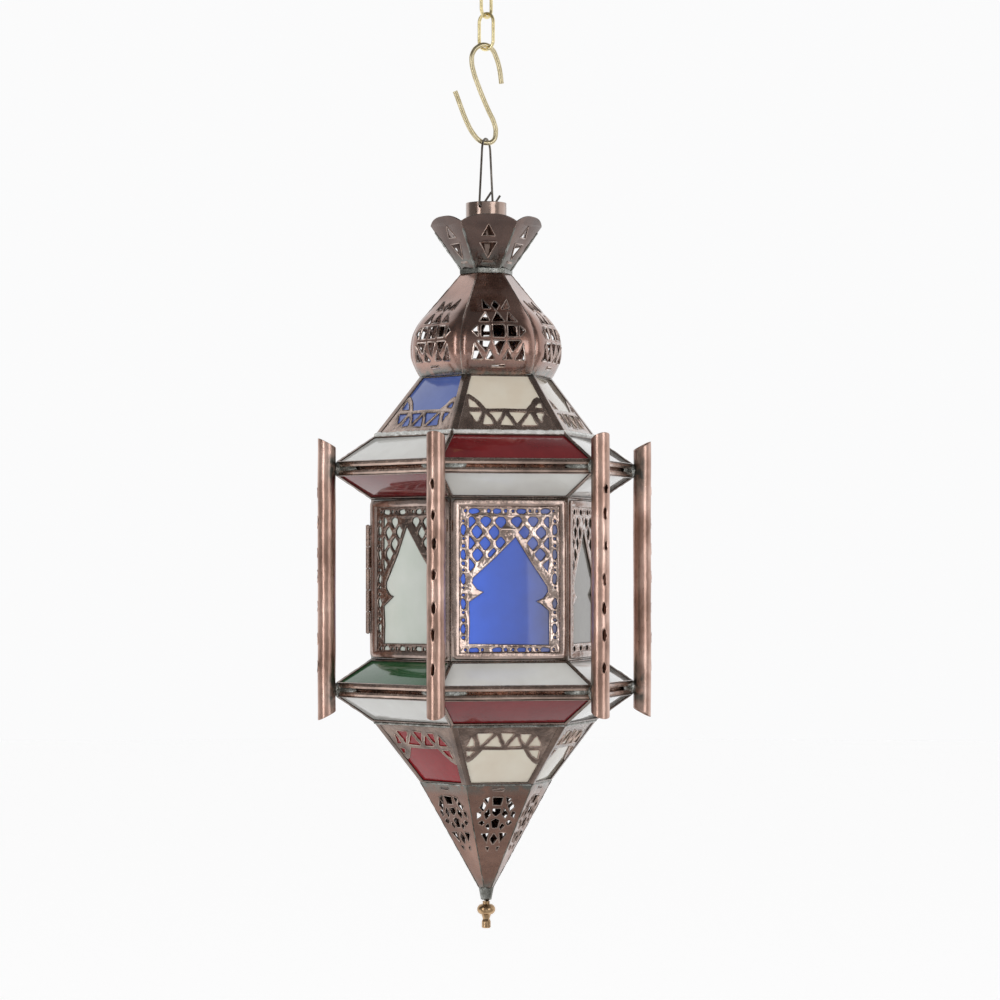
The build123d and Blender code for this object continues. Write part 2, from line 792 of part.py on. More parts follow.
def knuckles(turn, hand, places):
    """Knuckles whose leaves lie on the side at this turn, hand giving the side's edge at the hinge."""
    outward = (sin(radians(turn)), -cos(radians(turn)))
    along = (-outward[1] * hand, outward[0] * hand)
    leaf_centre = (
        outward[0] * leaf_out + along[0] * leaf_along,
        outward[1] * leaf_out + along[1] * leaf_along,
    )
    with BuildPart() as barrel:
        for place in places:
            foot_z = hinge_foot + place * knuckle_pitch + knuckle_gap / 2
            with BuildSketch(Plane.XY.offset(foot_z)):
                with Locations((-hinge_reach, 0)):
                    Circle(knuckle_radius)
                with Locations(Location((*leaf_centre, 0), (0, 0, turn))):
                    Rectangle(leaf_width, leaf)
                with Locations((-hinge_reach, 0)):
                    Circle(pin_radius + pin_play, mode=Mode.SUBTRACT)
            extrude(amount=knuckle_pitch - knuckle_gap)
    return barrel


keep(knuckles(left, -1, range(1, hinge_knuckles, 2)), "door_knuckles")
keep(knuckles(back_left, 1, range(0, hinge_knuckles, 2)), "post_knuckles")
with BuildPart() as hinge_pin:
    with BuildSketch(Plane.XY.offset(hinge_foot - knuckle_gap)):
        with Locations((-hinge_reach, 0)):
            Circle(pin_radius)
    extrude(amount=hinge_length + 2 * knuckle_gap)
keep(hinge_pin, "hinge_pin")

# Pull tab on the door's free edge
tab_edge = box_radius / 2 - frame_width / 4
with BuildPart() as door_tab:
    with BuildSketch(Plane.XY.offset((box_top + box_foot) / 2 + tab_rise)):
        Polygon(
            (tab_edge, -box_apothem),
            (tab_edge - tab_width, -box_apothem),
            (tab_edge - tab_width, -box_apothem - sheet),
            (tab_edge - sheet, -box_apothem - sheet),
            (tab_edge - sheet, -box_apothem - tab_reach),
            (tab_edge, -box_apothem - tab_reach),
            align=None,
        )
    extrude(amount=tab_height / 2, both=True)
keep(around(door_tab.part, [left]), "door_tab")

# Candle plate on the ledge of the lower soffit, and its cup
plate_apothem = box_apothem - frame_depth - plate_play
with BuildPart() as candle_plate:
    with BuildSketch(Plane.XY.offset(box_foot)):
        RegularPolygon(plate_apothem / to_apothem, sides)
    extrude(amount=plate)
keep(candle_plate, "candle_plate")
with BuildPart() as candle_cup:
    with BuildSketch(Plane.XY.offset(box_foot + plate)):
        Circle(cup_radius)
        Circle(cup_radius - cup_wall, mode=Mode.SUBTRACT)
    extrude(amount=cup_height)
keep(candle_cup, "candle_cup")

# Spike: six pierced triangles under the lower throat
spike_edge = slope_length(spike) / 2
with BuildPart() as spike_facet:
    add(slab(spike, sheet))
    with BuildSketch(face_plane(spike)):
        motif_foot = spike_edge - spike_motif_drop
        for points in motif_outlines(spike_motif_width, spike_motif_height, motif_foot, -1):
            Polygon(*points, align=None)
        with Locations((0, spike_edge - vent_rise)):
            Rectangle(vent_length, vent_width)
    extrude(amount=4 * sheet, both=True, mode=Mode.SUBTRACT)
keep(around(spike_facet.part), "spike_facets")

# Ferrule that closes the spike, and the turned finial under it
with BuildPart() as spike_ferrule:
    with BuildSketch(Plane.XZ):
        Polygon(
            (0, spike_foot),
            (ferrule_top_radius, spike_foot),
            (ferrule_end_radius, ferrule_foot),
            (0, ferrule_foot),
            align=None,
        )
    revolve(axis=Axis.Z)
keep(spike_ferrule, "spike_ferrule")

finial_foot = ferrule_foot - finial_height
bead_radius = ferrule_end_radius - finial_bead_inset
with BuildPart() as finial:
    with BuildSketch(Plane.XZ):
        with BuildLine():
            Polyline(
                (0, finial_foot),
                (0, ferrule_foot),
                (bead_radius, ferrule_foot),
                (bead_radius, ferrule_foot - finial_bead_height),
            )
            ThreePointArc(
                (bead_radius, ferrule_foot - finial_bead_height),
                (finial_ball_radius, ferrule_foot - finial_ball_drop),
                (finial_taper_radius, ferrule_foot - finial_taper_drop),
            )
            Polyline(
                (finial_taper_radius, ferrule_foot - finial_taper_drop),
                (finial_stem_radius, ferrule_foot - finial_stem_drop),
                (finial_foot_radius, ferrule_foot - finial_foot_drop),
                (finial_foot_radius, finial_foot + finial_edge),
                (finial_foot_radius - finial_edge, finial_foot),
                (0, finial_foot),
            )
        make_face()
    revolve(axis=Axis.Z)
keep(finial, "finial")

# Columns: six slotted tubes at the corners of the bands, cut slanting at both ends
column_reach = band_radius + column_radius + column_gap
column_middle = (box_top + box_foot) / 2
with BuildPart() as column:
    with BuildSketch(Plane.XY.offset(column_middle)):
        with Locations((column_reach, 0)):
            Circle(column_radius)
            Circle(column_radius - column_wall, mode=Mode.SUBTRACT)
    extrude(amount=column_length / 2, both=True)
    for end in (1, -1):
        outer_edge = (column_reach + column_radius, 0, column_middle + end * column_length / 2)
        slant = (-sin(radians(column_cut)), 0, end * cos(radians(column_cut)))
        split(bisect_by=Plane(origin=outer_edge, x_dir=(0, 1, 0), z_dir=slant), keep=Keep.BOTTOM)
    with BuildSketch(Plane(origin=(column_reach, 0, column_middle), x_dir=(0, 1, 0), z_dir=(1, 0, 0))):
        with GridLocations(column_slot_pitch, column_slot_pitch, 1, column_slots):
            SlotOverall(column_slot_length, column_slot_width, rotation=90)
    extrude(amount=2 * column_radius, mode=Mode.SUBTRACT)
for number, turn in enumerate(side_turns, 1):
    keep(around(column.part, [turn]), f"column_{number}")
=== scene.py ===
# %% [markdown]
# A hexagonal hanging lantern, soldered by hand from copper strip, pierced copper sheet and panes
# of coloured glass. The solids of the lantern are loaded first and stay as the frame: every new
# piece is modelled where its solid is, and moves with the same body. Noise bends some pieces a
# little, and its seed is set here, so that every run gives the same lantern.

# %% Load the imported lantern
import random
from math import asin, atan2, cos, hypot, pi, radians, sin, sqrt, tan

import bpy
from mathutils import Matrix, Vector, noise


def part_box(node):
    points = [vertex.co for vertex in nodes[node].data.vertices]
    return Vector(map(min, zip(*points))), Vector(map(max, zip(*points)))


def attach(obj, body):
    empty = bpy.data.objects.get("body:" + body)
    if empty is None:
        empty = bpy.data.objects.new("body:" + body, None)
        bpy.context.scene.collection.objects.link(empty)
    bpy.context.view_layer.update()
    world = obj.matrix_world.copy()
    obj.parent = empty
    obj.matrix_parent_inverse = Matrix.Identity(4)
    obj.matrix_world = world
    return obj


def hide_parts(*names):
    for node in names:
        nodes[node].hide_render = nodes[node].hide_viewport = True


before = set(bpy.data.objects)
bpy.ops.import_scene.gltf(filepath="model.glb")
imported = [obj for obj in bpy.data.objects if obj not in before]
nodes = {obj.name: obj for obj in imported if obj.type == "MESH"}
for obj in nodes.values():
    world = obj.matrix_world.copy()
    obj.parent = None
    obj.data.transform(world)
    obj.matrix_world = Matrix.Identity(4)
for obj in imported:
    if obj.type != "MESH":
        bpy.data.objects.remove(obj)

noise.seed_set(9)
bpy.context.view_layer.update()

# %% [markdown]
# The lantern is easiest to think about in millimetres, so the pieces are drawn in millimetres and
# scaled once when they are put in place. Heights are read from the solids. The corner radii of the
# hexagon at each joint are the lantern's own driving sizes.

# %% Sizes of the lantern
MM = 0.001
side_turns = [60 * side for side in range(6)]
front, right, back_right, back, back_left, left = side_turns
cos30 = cos(radians(30))
tan30 = tan(radians(30))

throat_radius = 46.5
canopy_radius = 79
band_radius = 105.2
box_radius = 81
spike_end_radius = 5
crown_radius = 37
crown_height = 27.8
waist_apothem = 15.25
waist_radius = waist_apothem / cos30


def heights(node):
    """Top and foot of a solid, in millimetres."""
    low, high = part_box(node)
    return high[2] / MM, low[2] / MM


neck_top, waist_foot = heights("neck_tube")
crown_foot = heights("crown_petals")[1]
dome_foot = heights("dome_petal_1")[1]
canopy_foot = heights("upper_canopy_came")[1]
upper_band_top, upper_band_foot = heights("upper_band_rails")
box_top, box_foot = heights("window_frames")
lower_band_top, lower_band_foot = heights("lower_band_rails")
lower_canopy_top, spike_top = heights("lower_canopy_came")
spike_foot = heights("spike_facets")[1]
ferrule_foot = heights("spike_ferrule")[1]
band_middles = ((upper_band_top + upper_band_foot) / 2, (lower_band_top + lower_band_foot) / 2)
print("window box", round(box_top - box_foot, 1), "mm high, spike", round(spike_top - spike_foot, 1), "mm")

# %% [markdown]
# From the crown to the spike the lantern is a stack of six-sided tiers. One sloping side of a tier
# is drawn flat, with x to the right and y up the slope, as the coppersmith marks it out on a sheet.
# A matrix then lays it on the front of the lantern.

# %% Tiers and their sides
# Each tier: corner radius and height of its top, then of its foot
crown = (crown_radius, crown_foot + crown_height, waist_radius, crown_foot)
upper_canopy = (throat_radius, dome_foot, canopy_radius, canopy_foot)
upper_eave = (canopy_radius, canopy_foot, band_radius, upper_band_top)
upper_soffit = (band_radius, upper_band_foot, box_radius, box_top)
window = (box_radius, box_top, box_radius, box_foot)
lower_soffit = (box_radius, box_foot, band_radius, lower_band_top)
lower_eave = (band_radius, lower_band_foot, canopy_radius, lower_canopy_top)
lower_canopy = (canopy_radius, lower_canopy_top, throat_radius, spike_top)
spike = (throat_radius, spike_top, spike_end_radius, spike_foot)


def slope_length(tier):
    """Length of a side of the tier down its slope."""
    top_radius, top_z, foot_radius, foot_z = tier
    return hypot((foot_radius - top_radius) * cos30, top_z - foot_z)


def side_frame(tier, lift=0.0):
    """Matrix from a side's own face (x right, y up the slope, z out) to the front side's place."""
    top_radius, top_z, foot_radius, foot_z = tier
    length = slope_length(tier)
    spread = (foot_radius - top_radius) * cos30 / length
    rise = (top_z - foot_z) / length
    middle = (0, -(top_radius + foot_radius) / 2 * cos30, (top_z + foot_z) / 2)
    turned = Matrix(((1, 0, 0), (0, spread, -rise), (0, rise, spread))).to_4x4()
    return Matrix.Scale(MM, 4) @ Matrix.Translation(middle) @ turned @ Matrix.Translation((0, 0, lift))


def half_width(tier, y, inset=0.0):
    """Half the width of a side at a height up its slope from the middle, inset from its edges."""
    lean = (tier[0] - tier[2]) / 2 / slope_length(tier)
    return (tier[0] + tier[2]) / 4 + lean * y - inset * hypot(1, lean)


def side_outline(tier, hip, top, foot):
    """Outline of a side, inset from its two hips, its top and its foot."""
    half = slope_length(tier) / 2
    high, low = half - top, foot - half
    return [
        (-half_width(tier, low, hip), low), (half_width(tier, low, hip), low),
        (half_width(tier, high, hip), high), (-half_width(tier, high, hip), high)]


for name, tier in (("canopy", upper_canopy), ("eave", upper_eave), ("window", window), ("spike", spike)):
    print(name, "slope length", round(slope_length(tier), 1), "mm")

# %% [markdown]
# Blender's operators act on whatever is selected, so a few helpers come first. They select a single
# piece, add a new one with nothing else selected, run edit-mode operators on all of a mesh, and move
# its points one by one.


# %% Choosing and editing a piece
def choose(piece):
    """Make this the only selected object, and the active one."""
    bpy.ops.object.select_all(action="DESELECT")
    piece.select_set(True)
    bpy.context.view_layer.objects.active = piece
    return piece


def added(operator, **settings):
    """The object that an operator adds, with nothing else selected."""
    bpy.ops.object.select_all(action="DESELECT")
    operator(**settings)
    return bpy.context.object


def edit(piece, *steps):
    """Run edit-mode steps on the whole mesh of a piece."""
    choose(piece)
    bpy.ops.object.mode_set(mode="EDIT")
    bpy.ops.mesh.select_mode(type="VERT")
    for step in steps:
        bpy.ops.mesh.select_all(action="SELECT")
        step()
    bpy.ops.object.mode_set(mode="OBJECT")
    return piece


def move_points(piece, place):
    """Put each point of the mesh where a function of its place says."""
    for vertex in piece.data.vertices:
        vertex.co = place(vertex.co)
    piece.data.update()
    return piece


# %% [markdown]
# Almost everything comes in sixes. A piece is made once, on the front side, and copied round the
# axis. When it is done it gets its finishes and the body it moves with, and the solids that it
# stands for are hidden.

# %% Copying and finishing a piece
smooth_angle = radians(38)


def twin(piece, turn):
    """A copy with its own mesh, turned about the lantern's axis."""
    choose(piece)
    bpy.ops.object.duplicate(linked=False)
    return turned_by(bpy.context.object, turn)


def turned_by(piece, turn):
    """The piece itself, turned about the lantern's axis."""
    piece.data.transform(Matrix.Rotation(radians(turn), 4, "Z"))
    return piece


def join(pieces):
    """Several meshes as one piece."""
    bpy.ops.object.select_all(action="DESELECT")
    for piece in pieces:
        piece.select_set(True)
    bpy.context.view_layer.objects.active = pieces[0]
    if len(pieces) > 1:
        bpy.ops.object.join()
    return bpy.context.object


def ring(piece, turns=side_turns):
    """The front piece repeated at these turns, as one piece; the first one is used up."""
    copies = [twin(piece, turn) for turn in turns]
    bpy.data.objects.remove(piece)
    return join(copies)


def finish(piece, name, slot, finishes, *solids, body="lantern"):
    """Name a piece, give it its finishes, and let it ride on its body in place of its solids."""
    piece.name = name
    piece.data.name = name
    marks = [face.material_index for face in piece.data.polygons]
    piece.data.materials.clear()
    for material in finishes:
        piece.data.materials.append(material)
    for face, mark in zip(piece.data.polygons, marks):
        face.material_index = min(mark, len(finishes) - 1)
    choose(piece)
    bpy.ops.object.shade_smooth_by_angle(angle=smooth_angle)
    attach(piece, body)
    if solids:
        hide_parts(*solids)
    print(name, len(piece.data.polygons), "faces")
    return piece


# %% [markdown]
# Every finish is built from the same few nodes: a cloudy noise that moves a colour ramp, a finer
# noise that moves the roughness, and bumps. These helpers add one node each and return its socket.


# %% Nodes for places, noise and tones
def shader(name):
    """A new material with its node tree and its main shader."""
    material = bpy.data.materials.new(name)
    material.use_nodes = True
    tree = material.node_tree
    return material, tree, tree.nodes["Principled BSDF"]


def object_place(tree):
    """The place on the piece, which stays with it when its body moves."""
    return tree.nodes.new("ShaderNodeTexCoord").outputs["Object"]


def axes_of(tree, place):
    """The X, Y and Z of a place as three sockets."""
    split = tree.nodes.new("ShaderNodeSeparateXYZ")
    tree.links.new(place, split.inputs["Vector"])
    return split.outputs["X"], split.outputs["Y"], split.outputs["Z"]


def add_noise(tree, place, scale, detail=3.0, rough=0.55):
    """Cloudy noise; the scale is in lumps to a metre."""
    node = tree.nodes.new("ShaderNodeTexNoise")
    for socket, number in zip(("Scale", "Detail", "Roughness"), (scale, detail, rough)):
        node.inputs[socket].default_value = number
    tree.links.new(place, node.inputs["Vector"])
    return node.outputs["Fac"]


def add_tones(tree, value, tones):
    """A colour ramp through (position, colour) tones."""
    node = tree.nodes.new("ShaderNodeValToRGB")
    ramp = node.color_ramp
    while len(ramp.elements) < len(tones):
        ramp.elements.new(0.5)
    for element, (position, colour) in zip(ramp.elements, tones):
        element.position = position
        element.color = (*colour, 1)
    tree.links.new(value, node.inputs["Fac"])
    return node.outputs["Color"]


# %% [markdown]
# The second set works on numbers: it stretches a value to another range, adds or multiplies two
# values, mixes two colours, and turns a value into bumps.


# %% Nodes for ranges, sums, mixes and bumps
def add_range(tree, value, low, high, out_low, out_high):
    """The value, stretched from one range to another and kept inside it."""
    node = tree.nodes.new("ShaderNodeMapRange")
    for socket, number in zip(("From Min", "From Max", "To Min", "To Max"), (low, high, out_low, out_high)):
        node.inputs[socket].default_value = number
    tree.links.new(value, node.inputs["Value"])
    return node.outputs["Result"]


def add_math(tree, operation, first, second):
    """A sum of two values; each is a socket or a plain number."""
    node = tree.nodes.new("ShaderNodeMath")
    node.operation = operation
    for socket, value in zip(node.inputs, (first, second)):
        if isinstance(value, (int, float)):
            socket.default_value = value
        else:
            tree.links.new(value, socket)
    return node.outputs["Value"]


def add_mix(tree, factor, first, second):
    """Mix two colours; each is a socket or a plain colour."""
    node = tree.nodes.new("ShaderNodeMix")
    node.data_type = "RGBA"
    tree.links.new(factor, node.inputs[0])
    for socket, value in ((node.inputs[6], first), (node.inputs[7], second)):
        if isinstance(value, tuple):
            socket.default_value = (*value, 1)
        else:
            tree.links.new(value, socket)
    return node.outputs[2]


def add_bump(tree, value, distance, strength, normal=None):
    """Bumps of this depth in metres, on top of another bump's normal if there is one."""
    node = tree.nodes.new("ShaderNodeBump")
    node.inputs["Distance"].default_value = distance
    node.inputs["Strength"].default_value = strength
    tree.links.new(value, node.inputs["Height"])
    if normal:
        tree.links.new(normal, node.inputs["Normal"])
    return node.outputs["Normal"]


# %% [markdown]
# Antique copper is dark brown in the hollows and rubbed to a pinkish shine where hands and cloths
# reach it, under a clear lacquer that turns silvery at a glancing angle. Solder leaves a grey-green
# stain, so a finish can be stained near the heights of the joints, and only on the side of a column
# that faces the lantern. On a rolled tube the noise is drawn out along the tube.

# %% Copper
solder_stain = (0.135, 0.132, 0.115)
grain_fineness = 16
dent_fineness = 3.5


def stain_share(tree, spot, joints, reach, within):
    """1 near the heights of these joints and inside this radius, 0 away from them (mm)."""
    x, y, z = axes_of(tree, spot)
    near = None
    for height in joints:
        gap = add_math(tree, "ABSOLUTE", add_math(tree, "SUBTRACT", z, height * MM), 0)
        close = add_range(tree, gap, 0.25 * reach * MM, reach * MM, 1, 0)
        near = close if near is None else add_math(tree, "MAXIMUM", near, close)
    if within:
        spread = add_math(tree, "ADD", add_math(tree, "MULTIPLY", x, x), add_math(tree, "MULTIPLY", y, y))
        inner = add_range(tree, spread, ((within - 2) * MM) ** 2, ((within + 1) * MM) ** 2, 1, 0)
        near = add_math(tree, "MULTIPLY", near, inner)
    return near


def copper(name, deep, warm, bright, cloud=38, dent=0.0006, rough=(0.18, 0.36),
           stained=(), reach=9, within=None, coat=0.75, drawn=1.0):
    """Lacquered copper in three tones, stained near these heights and within this radius (mm)."""
    material, tree, metal = shader(name)
    spot = object_place(tree)
    stretch = tree.nodes.new("ShaderNodeMapping")
    stretch.inputs["Scale"].default_value = (1, 1, drawn)
    tree.links.new(spot, stretch.inputs["Vector"])
    place = stretch.outputs["Vector"]
    clouds = add_noise(tree, place, cloud, 5, 0.6)
    grain = add_noise(tree, place, cloud * grain_fineness, 4, 0.6)
    colour = add_tones(tree, clouds, ((0.32, deep), (0.5, warm), (0.7, bright)))
    if stained:
        near = stain_share(tree, spot, stained, reach, within)
        patchy = add_range(tree, add_noise(tree, place, 170, 4), 0.32, 0.56, 0, 1)
        colour = add_mix(tree, add_math(tree, "MULTIPLY", near, patchy), colour, solder_stain)
    tree.links.new(colour, metal.inputs["Base Color"])
    tree.links.new(add_range(tree, grain, 0.3, 0.7, *rough), metal.inputs["Roughness"])
    dents = add_bump(tree, add_noise(tree, place, cloud * dent_fineness, 2), dent, 0.5)
    tree.links.new(add_bump(tree, grain, 0.00008, 0.25, dents), metal.inputs["Normal"])
    metal.inputs["Metallic"].default_value = 1
    metal.inputs["Coat Weight"].default_value = coat
    metal.inputs["Coat Roughness"].default_value = 0.1
    metal.inputs["Coat IOR"].default_value = 1.9
    return material


# %% [markdown]
# The crown, the dome and the spike are the darkest sheet. Strips, lattices and screens are paler,
# most of all where they are rubbed. The strips and lattice under the lantern and the door's screen
# get darker copies of their copper, as painted shade, and the walls of the holes are dark with
# patina and painted shade. The tones of each go from its hollows to its rubbed places.

# %% Copper of the sheets, strips and screens
dome_copper = copper(
    "dome_copper", (0.185, 0.094, 0.069), (0.33, 0.172, 0.128), (0.48, 0.278, 0.214),
    cloud=20, dent=0.0005, rough=(0.22, 0.34), stained=(dome_foot,), reach=7)
crown_copper = copper(
    "crown_copper", (0.066, 0.038, 0.03), (0.115, 0.067, 0.053), (0.205, 0.126, 0.1),
    cloud=24, rough=(0.18, 0.3), stained=(crown_foot,), reach=15, coat=0.4)
neck_copper = copper(
    "neck_copper", (0.205, 0.13, 0.097), (0.35, 0.238, 0.188), (0.57, 0.417, 0.346),
    cloud=60, rough=(0.16, 0.26), drawn=0.5)
spike_copper = copper(
    "spike_copper", (0.12, 0.06, 0.042), (0.2, 0.104, 0.074), (0.32, 0.175, 0.128),
    cloud=24, stained=(spike_top, spike_foot), reach=8, coat=0.4)
strip_copper = copper(
    "strip_copper", (0.15, 0.097, 0.074), (0.26, 0.172, 0.133), (0.4, 0.28, 0.22),
    cloud=50, dent=0.0004, stained=(dome_foot, box_top, box_foot, spike_top), reach=5)
edge_copper = copper(
    "edge_copper", (0.2, 0.14, 0.115), (0.36, 0.265, 0.22), (0.55, 0.42, 0.36), cloud=80, rough=(0.16, 0.3))
bead_copper = copper(
    "bead_copper", (0.22, 0.15, 0.12), (0.38, 0.27, 0.225), (0.58, 0.44, 0.38),
    cloud=45, dent=0.0007, rough=(0.14, 0.28))
screen_copper = copper(
    "screen_copper", (0.22, 0.15, 0.122), (0.45, 0.33, 0.28), (0.75, 0.6, 0.53),
    cloud=48, dent=0.0018, rough=(0.1, 0.22))
# Painted shade: a darker copy of the screen copper for the door's screen, on the unlit side
door_painted_shade_copper = copper(
    "door_painted_shade_copper", (0.1, 0.066, 0.052), (0.22, 0.152, 0.122), (0.45, 0.34, 0.285),
    cloud=48, dent=0.0018, rough=(0.1, 0.24), coat=0.45)
# Dark walls of holes and strips: partly patina, partly painted shade where light does not reach
chiselled = copper(
    "hole_wall_patina_and_painted_shade", (0.03, 0.021, 0.017), (0.065, 0.044, 0.034), (0.13, 0.09, 0.072),
    cloud=120, rough=(0.3, 0.5), coat=0.2)
lattice_copper = copper(
    "lattice_copper", (0.2, 0.13, 0.1), (0.34, 0.23, 0.18), (0.52, 0.38, 0.31), cloud=80, dent=0.0012)
column_copper = copper(
    "column_copper", (0.33, 0.196, 0.15), (0.55, 0.352, 0.28), (0.82, 0.58, 0.49),
    cloud=45, dent=0.0004, rough=(0.27, 0.37), stained=band_middles, reach=20, within=band_radius + 7,
    coat=0.2, drawn=0.7)
rail_copper = copper(
    "rail_copper", (0.26, 0.17, 0.13), (0.48, 0.33, 0.26), (0.72, 0.53, 0.44),
    cloud=40, dent=0.0009, rough=(0.16, 0.3))
# Painted shade: darker copies of the strip and lattice copper, for the pieces under the lantern
painted_shade_strip = copper(
    "painted_shade_strip_copper", (0.075, 0.048, 0.037), (0.14, 0.092, 0.071), (0.24, 0.165, 0.13),
    cloud=50, dent=0.0004, coat=0.35)
painted_shade_lattice = copper(
    "painted_shade_lattice_copper", (0.085, 0.055, 0.042), (0.155, 0.105, 0.082), (0.28, 0.2, 0.16),
    cloud=80, dent=0.0012, coat=0.35)
lip_copper = copper(
    "lip_copper", (0.14, 0.09, 0.07), (0.42, 0.3, 0.25), (0.9, 0.75, 0.67), cloud=110, rough=(0.12, 0.24))
inner_copper = copper("inner_copper", (0.1, 0.06, 0.045), (0.17, 0.1, 0.075), (0.25, 0.16, 0.12))
print("copper finishes", sum(material.name.endswith("copper") for material in bpy.data.materials))

# %% [markdown]
# Soft solder is a lumpy grey skin with a green-grey tarnish and bright specks. Brass and wire are
# drawn or turned, so they have two close tones, fine lines and a little wear.


# %% Solder, brass and wire
def solder(name, dull, middle, pale, shine=(0.16, 0.42), metallic=0.9):
    """Lumpy solder in three tones, its roughness between two values."""
    material, tree, metal = shader(name)
    place = object_place(tree)
    blotch = add_noise(tree, place, 170, 5, 0.65)
    specks = add_noise(tree, place, 700, 3, 0.7)
    colour = add_tones(tree, blotch, ((0.34, dull), (0.5, middle), (0.66, pale)))
    tree.links.new(colour, metal.inputs["Base Color"])
    tree.links.new(add_range(tree, specks, 0.35, 0.65, *shine), metal.inputs["Roughness"])
    lumps = add_bump(tree, blotch, 0.0008, 0.6)
    tree.links.new(add_bump(tree, specks, 0.0002, 0.4, lumps), metal.inputs["Normal"])
    metal.inputs["Metallic"].default_value = metallic
    return material


joint_solder = solder("joint_solder", (0.13, 0.13, 0.115), (0.22, 0.22, 0.2), (0.42, 0.43, 0.41))
bright_solder = solder(
    "bright_solder", (0.5, 0.49, 0.46), (0.7, 0.7, 0.67), (0.85, 0.85, 0.82), (0.12, 0.3), 0.35)
seam_solder = solder("seam_solder", (0.07, 0.06, 0.05), (0.13, 0.12, 0.1), (0.28, 0.26, 0.23))


def drawn_metal(name, colour, worn, rough):
    """Smooth metal, worn in patches."""
    material, tree, metal = shader(name)
    place = object_place(tree)
    clouds = add_noise(tree, place, 120, 4)
    grain = add_noise(tree, place, 900, 3)
    tree.links.new(add_tones(tree, clouds, ((0.36, worn), (0.62, colour))), metal.inputs["Base Color"])
    tree.links.new(add_range(tree, grain, 0.3, 0.7, rough - 0.05, rough + 0.08), metal.inputs["Roughness"])
    tree.links.new(add_bump(tree, clouds, 0.0001, 0.2), metal.inputs["Normal"])
    metal.inputs["Metallic"].default_value = 1
    return material


hook_brass = drawn_metal("hook_brass", (0.78, 0.68, 0.45), (0.58, 0.49, 0.3), 0.3)
chain_brass = drawn_metal("chain_brass", (0.95, 0.83, 0.5), (0.8, 0.66, 0.34), 0.2)
finial_brass = drawn_metal("finial_brass", (0.56, 0.38, 0.22), (0.34, 0.22, 0.12), 0.24)
hinge_brass = drawn_metal("hinge_brass", (0.16, 0.105, 0.075), (0.08, 0.055, 0.04), 0.36)
tie_wire = drawn_metal("tie_wire", (0.24, 0.215, 0.185), (0.11, 0.095, 0.08), 0.36)
print("metals", len(bpy.data.materials))

# %% [markdown]
# The panes are thin cathedral glass, milky or coloured through, with a bright flat face. A little
# transmission lets the far side glow through, and a clear coat keeps the reflections crisp. The
# deep red and green panes have a hammered back, which a coarse bump gives. The blue of the big
# window has painted light: brightest at its left edge, dark towards its right. The clear window
# panes take a dark grey as painted shade, and the lower canopy's red pane a brighter red as
# painted light. The window panes keep their solids' shape.


# %% Glass
def pane_glass(name, deep, pale, transmission, hammered=0.0, across=None, shine=0.9):
    """Glass between two tones, by soft streaks, or by the place across the window (mm) as painted light."""
    material, tree, glass = shader(name)
    place = object_place(tree)
    streaks = add_noise(tree, place, 45, 3)
    share = add_range(tree, streaks, 0.3, 0.7, 0, 1)
    # Painted light: across the window the tone goes from bright at the left edge to dark at the right
    if across:
        side = add_range(tree, axes_of(tree, place)[0], across[0] * MM, across[1] * MM, 0, 1)
        streaky = add_math(tree, "MULTIPLY", share, 0.12)
        share = add_math(tree, "ADD", streaky, add_math(tree, "MULTIPLY", side, 0.88))
    tree.links.new(add_tones(tree, share, ((0.0, deep), (1.0, pale))), glass.inputs["Base Color"])
    tree.links.new(add_range(tree, streaks, 0.3, 0.7, 0.1, 0.2), glass.inputs["Roughness"])
    if hammered:
        tree.links.new(add_bump(tree, add_noise(tree, place, 330, 2), hammered, 0.5), glass.inputs["Normal"])
    glass.inputs["Transmission Weight"].default_value = transmission
    glass.inputs["IOR"].default_value = 1.5
    glass.inputs["Specular IOR Level"].default_value = 0.15
    glass.inputs["Coat Weight"].default_value = shine
    glass.inputs["Coat Roughness"].default_value = 0.02
    return material


milk_glass = pane_glass("milk_glass", (0.67, 0.66, 0.625), (0.75, 0.75, 0.715), 0.1)
cream_glass = pane_glass("cream_glass", (0.64, 0.56, 0.45), (0.69, 0.64, 0.535), 0.1)
pale_glass = pane_glass("pale_glass", (0.65, 0.7, 0.63), (0.72, 0.755, 0.7), 0.1)
blue_glass = pane_glass("blue_glass", (0.075, 0.125, 0.4), (0.11, 0.17, 0.47), 0.15)
red_glass = pane_glass("red_glass", (0.15, 0.01, 0.013), (0.21, 0.017, 0.02), 0.15, 0.0002)
# Painted light: a brighter copy of the red glass for the lower canopy's red pane, as if lit from behind
red_glass_painted_light = pane_glass("red_glass_painted_light", (0.27, 0.01, 0.015), (0.36, 0.02, 0.026), 0.15, 0.0004, shine=0.3)
wine_glass = pane_glass("wine_glass", (0.17, 0.011, 0.014), (0.23, 0.018, 0.022), 0.15, 0.0004, shine=0.4)
# Painted shade: the clear window glass is a dark grey, as it stands in little light
clear_window_glass_painted_shade = pane_glass("clear_window_glass_painted_shade", (0.23, 0.22, 0.196), (0.29, 0.276, 0.248), 0.15, shine=0.6)
green_glass = pane_glass("green_glass", (0.014, 0.085, 0.025), (0.025, 0.12, 0.042), 0.15, 0.0003)
blue_window_glass_painted_light = pane_glass(
    "blue_window_glass_painted_light", (0.09, 0.2, 0.88), (0.05, 0.052, 0.115), 0.15, across=(-34, 36), shine=0.8)


def dress(solids):
    """Give each solid that stays in sight its finish."""
    for node_name, material in solids.items():
        nodes[node_name].data.materials.clear()
        nodes[node_name].data.materials.append(material)
    print("solids dressed:", ", ".join(solids))


dress({
    "window_glass_clear": clear_window_glass_painted_shade, "window_glass_blue": blue_window_glass_painted_light,
    "window_glass_red": red_glass, "door_glass": pale_glass})

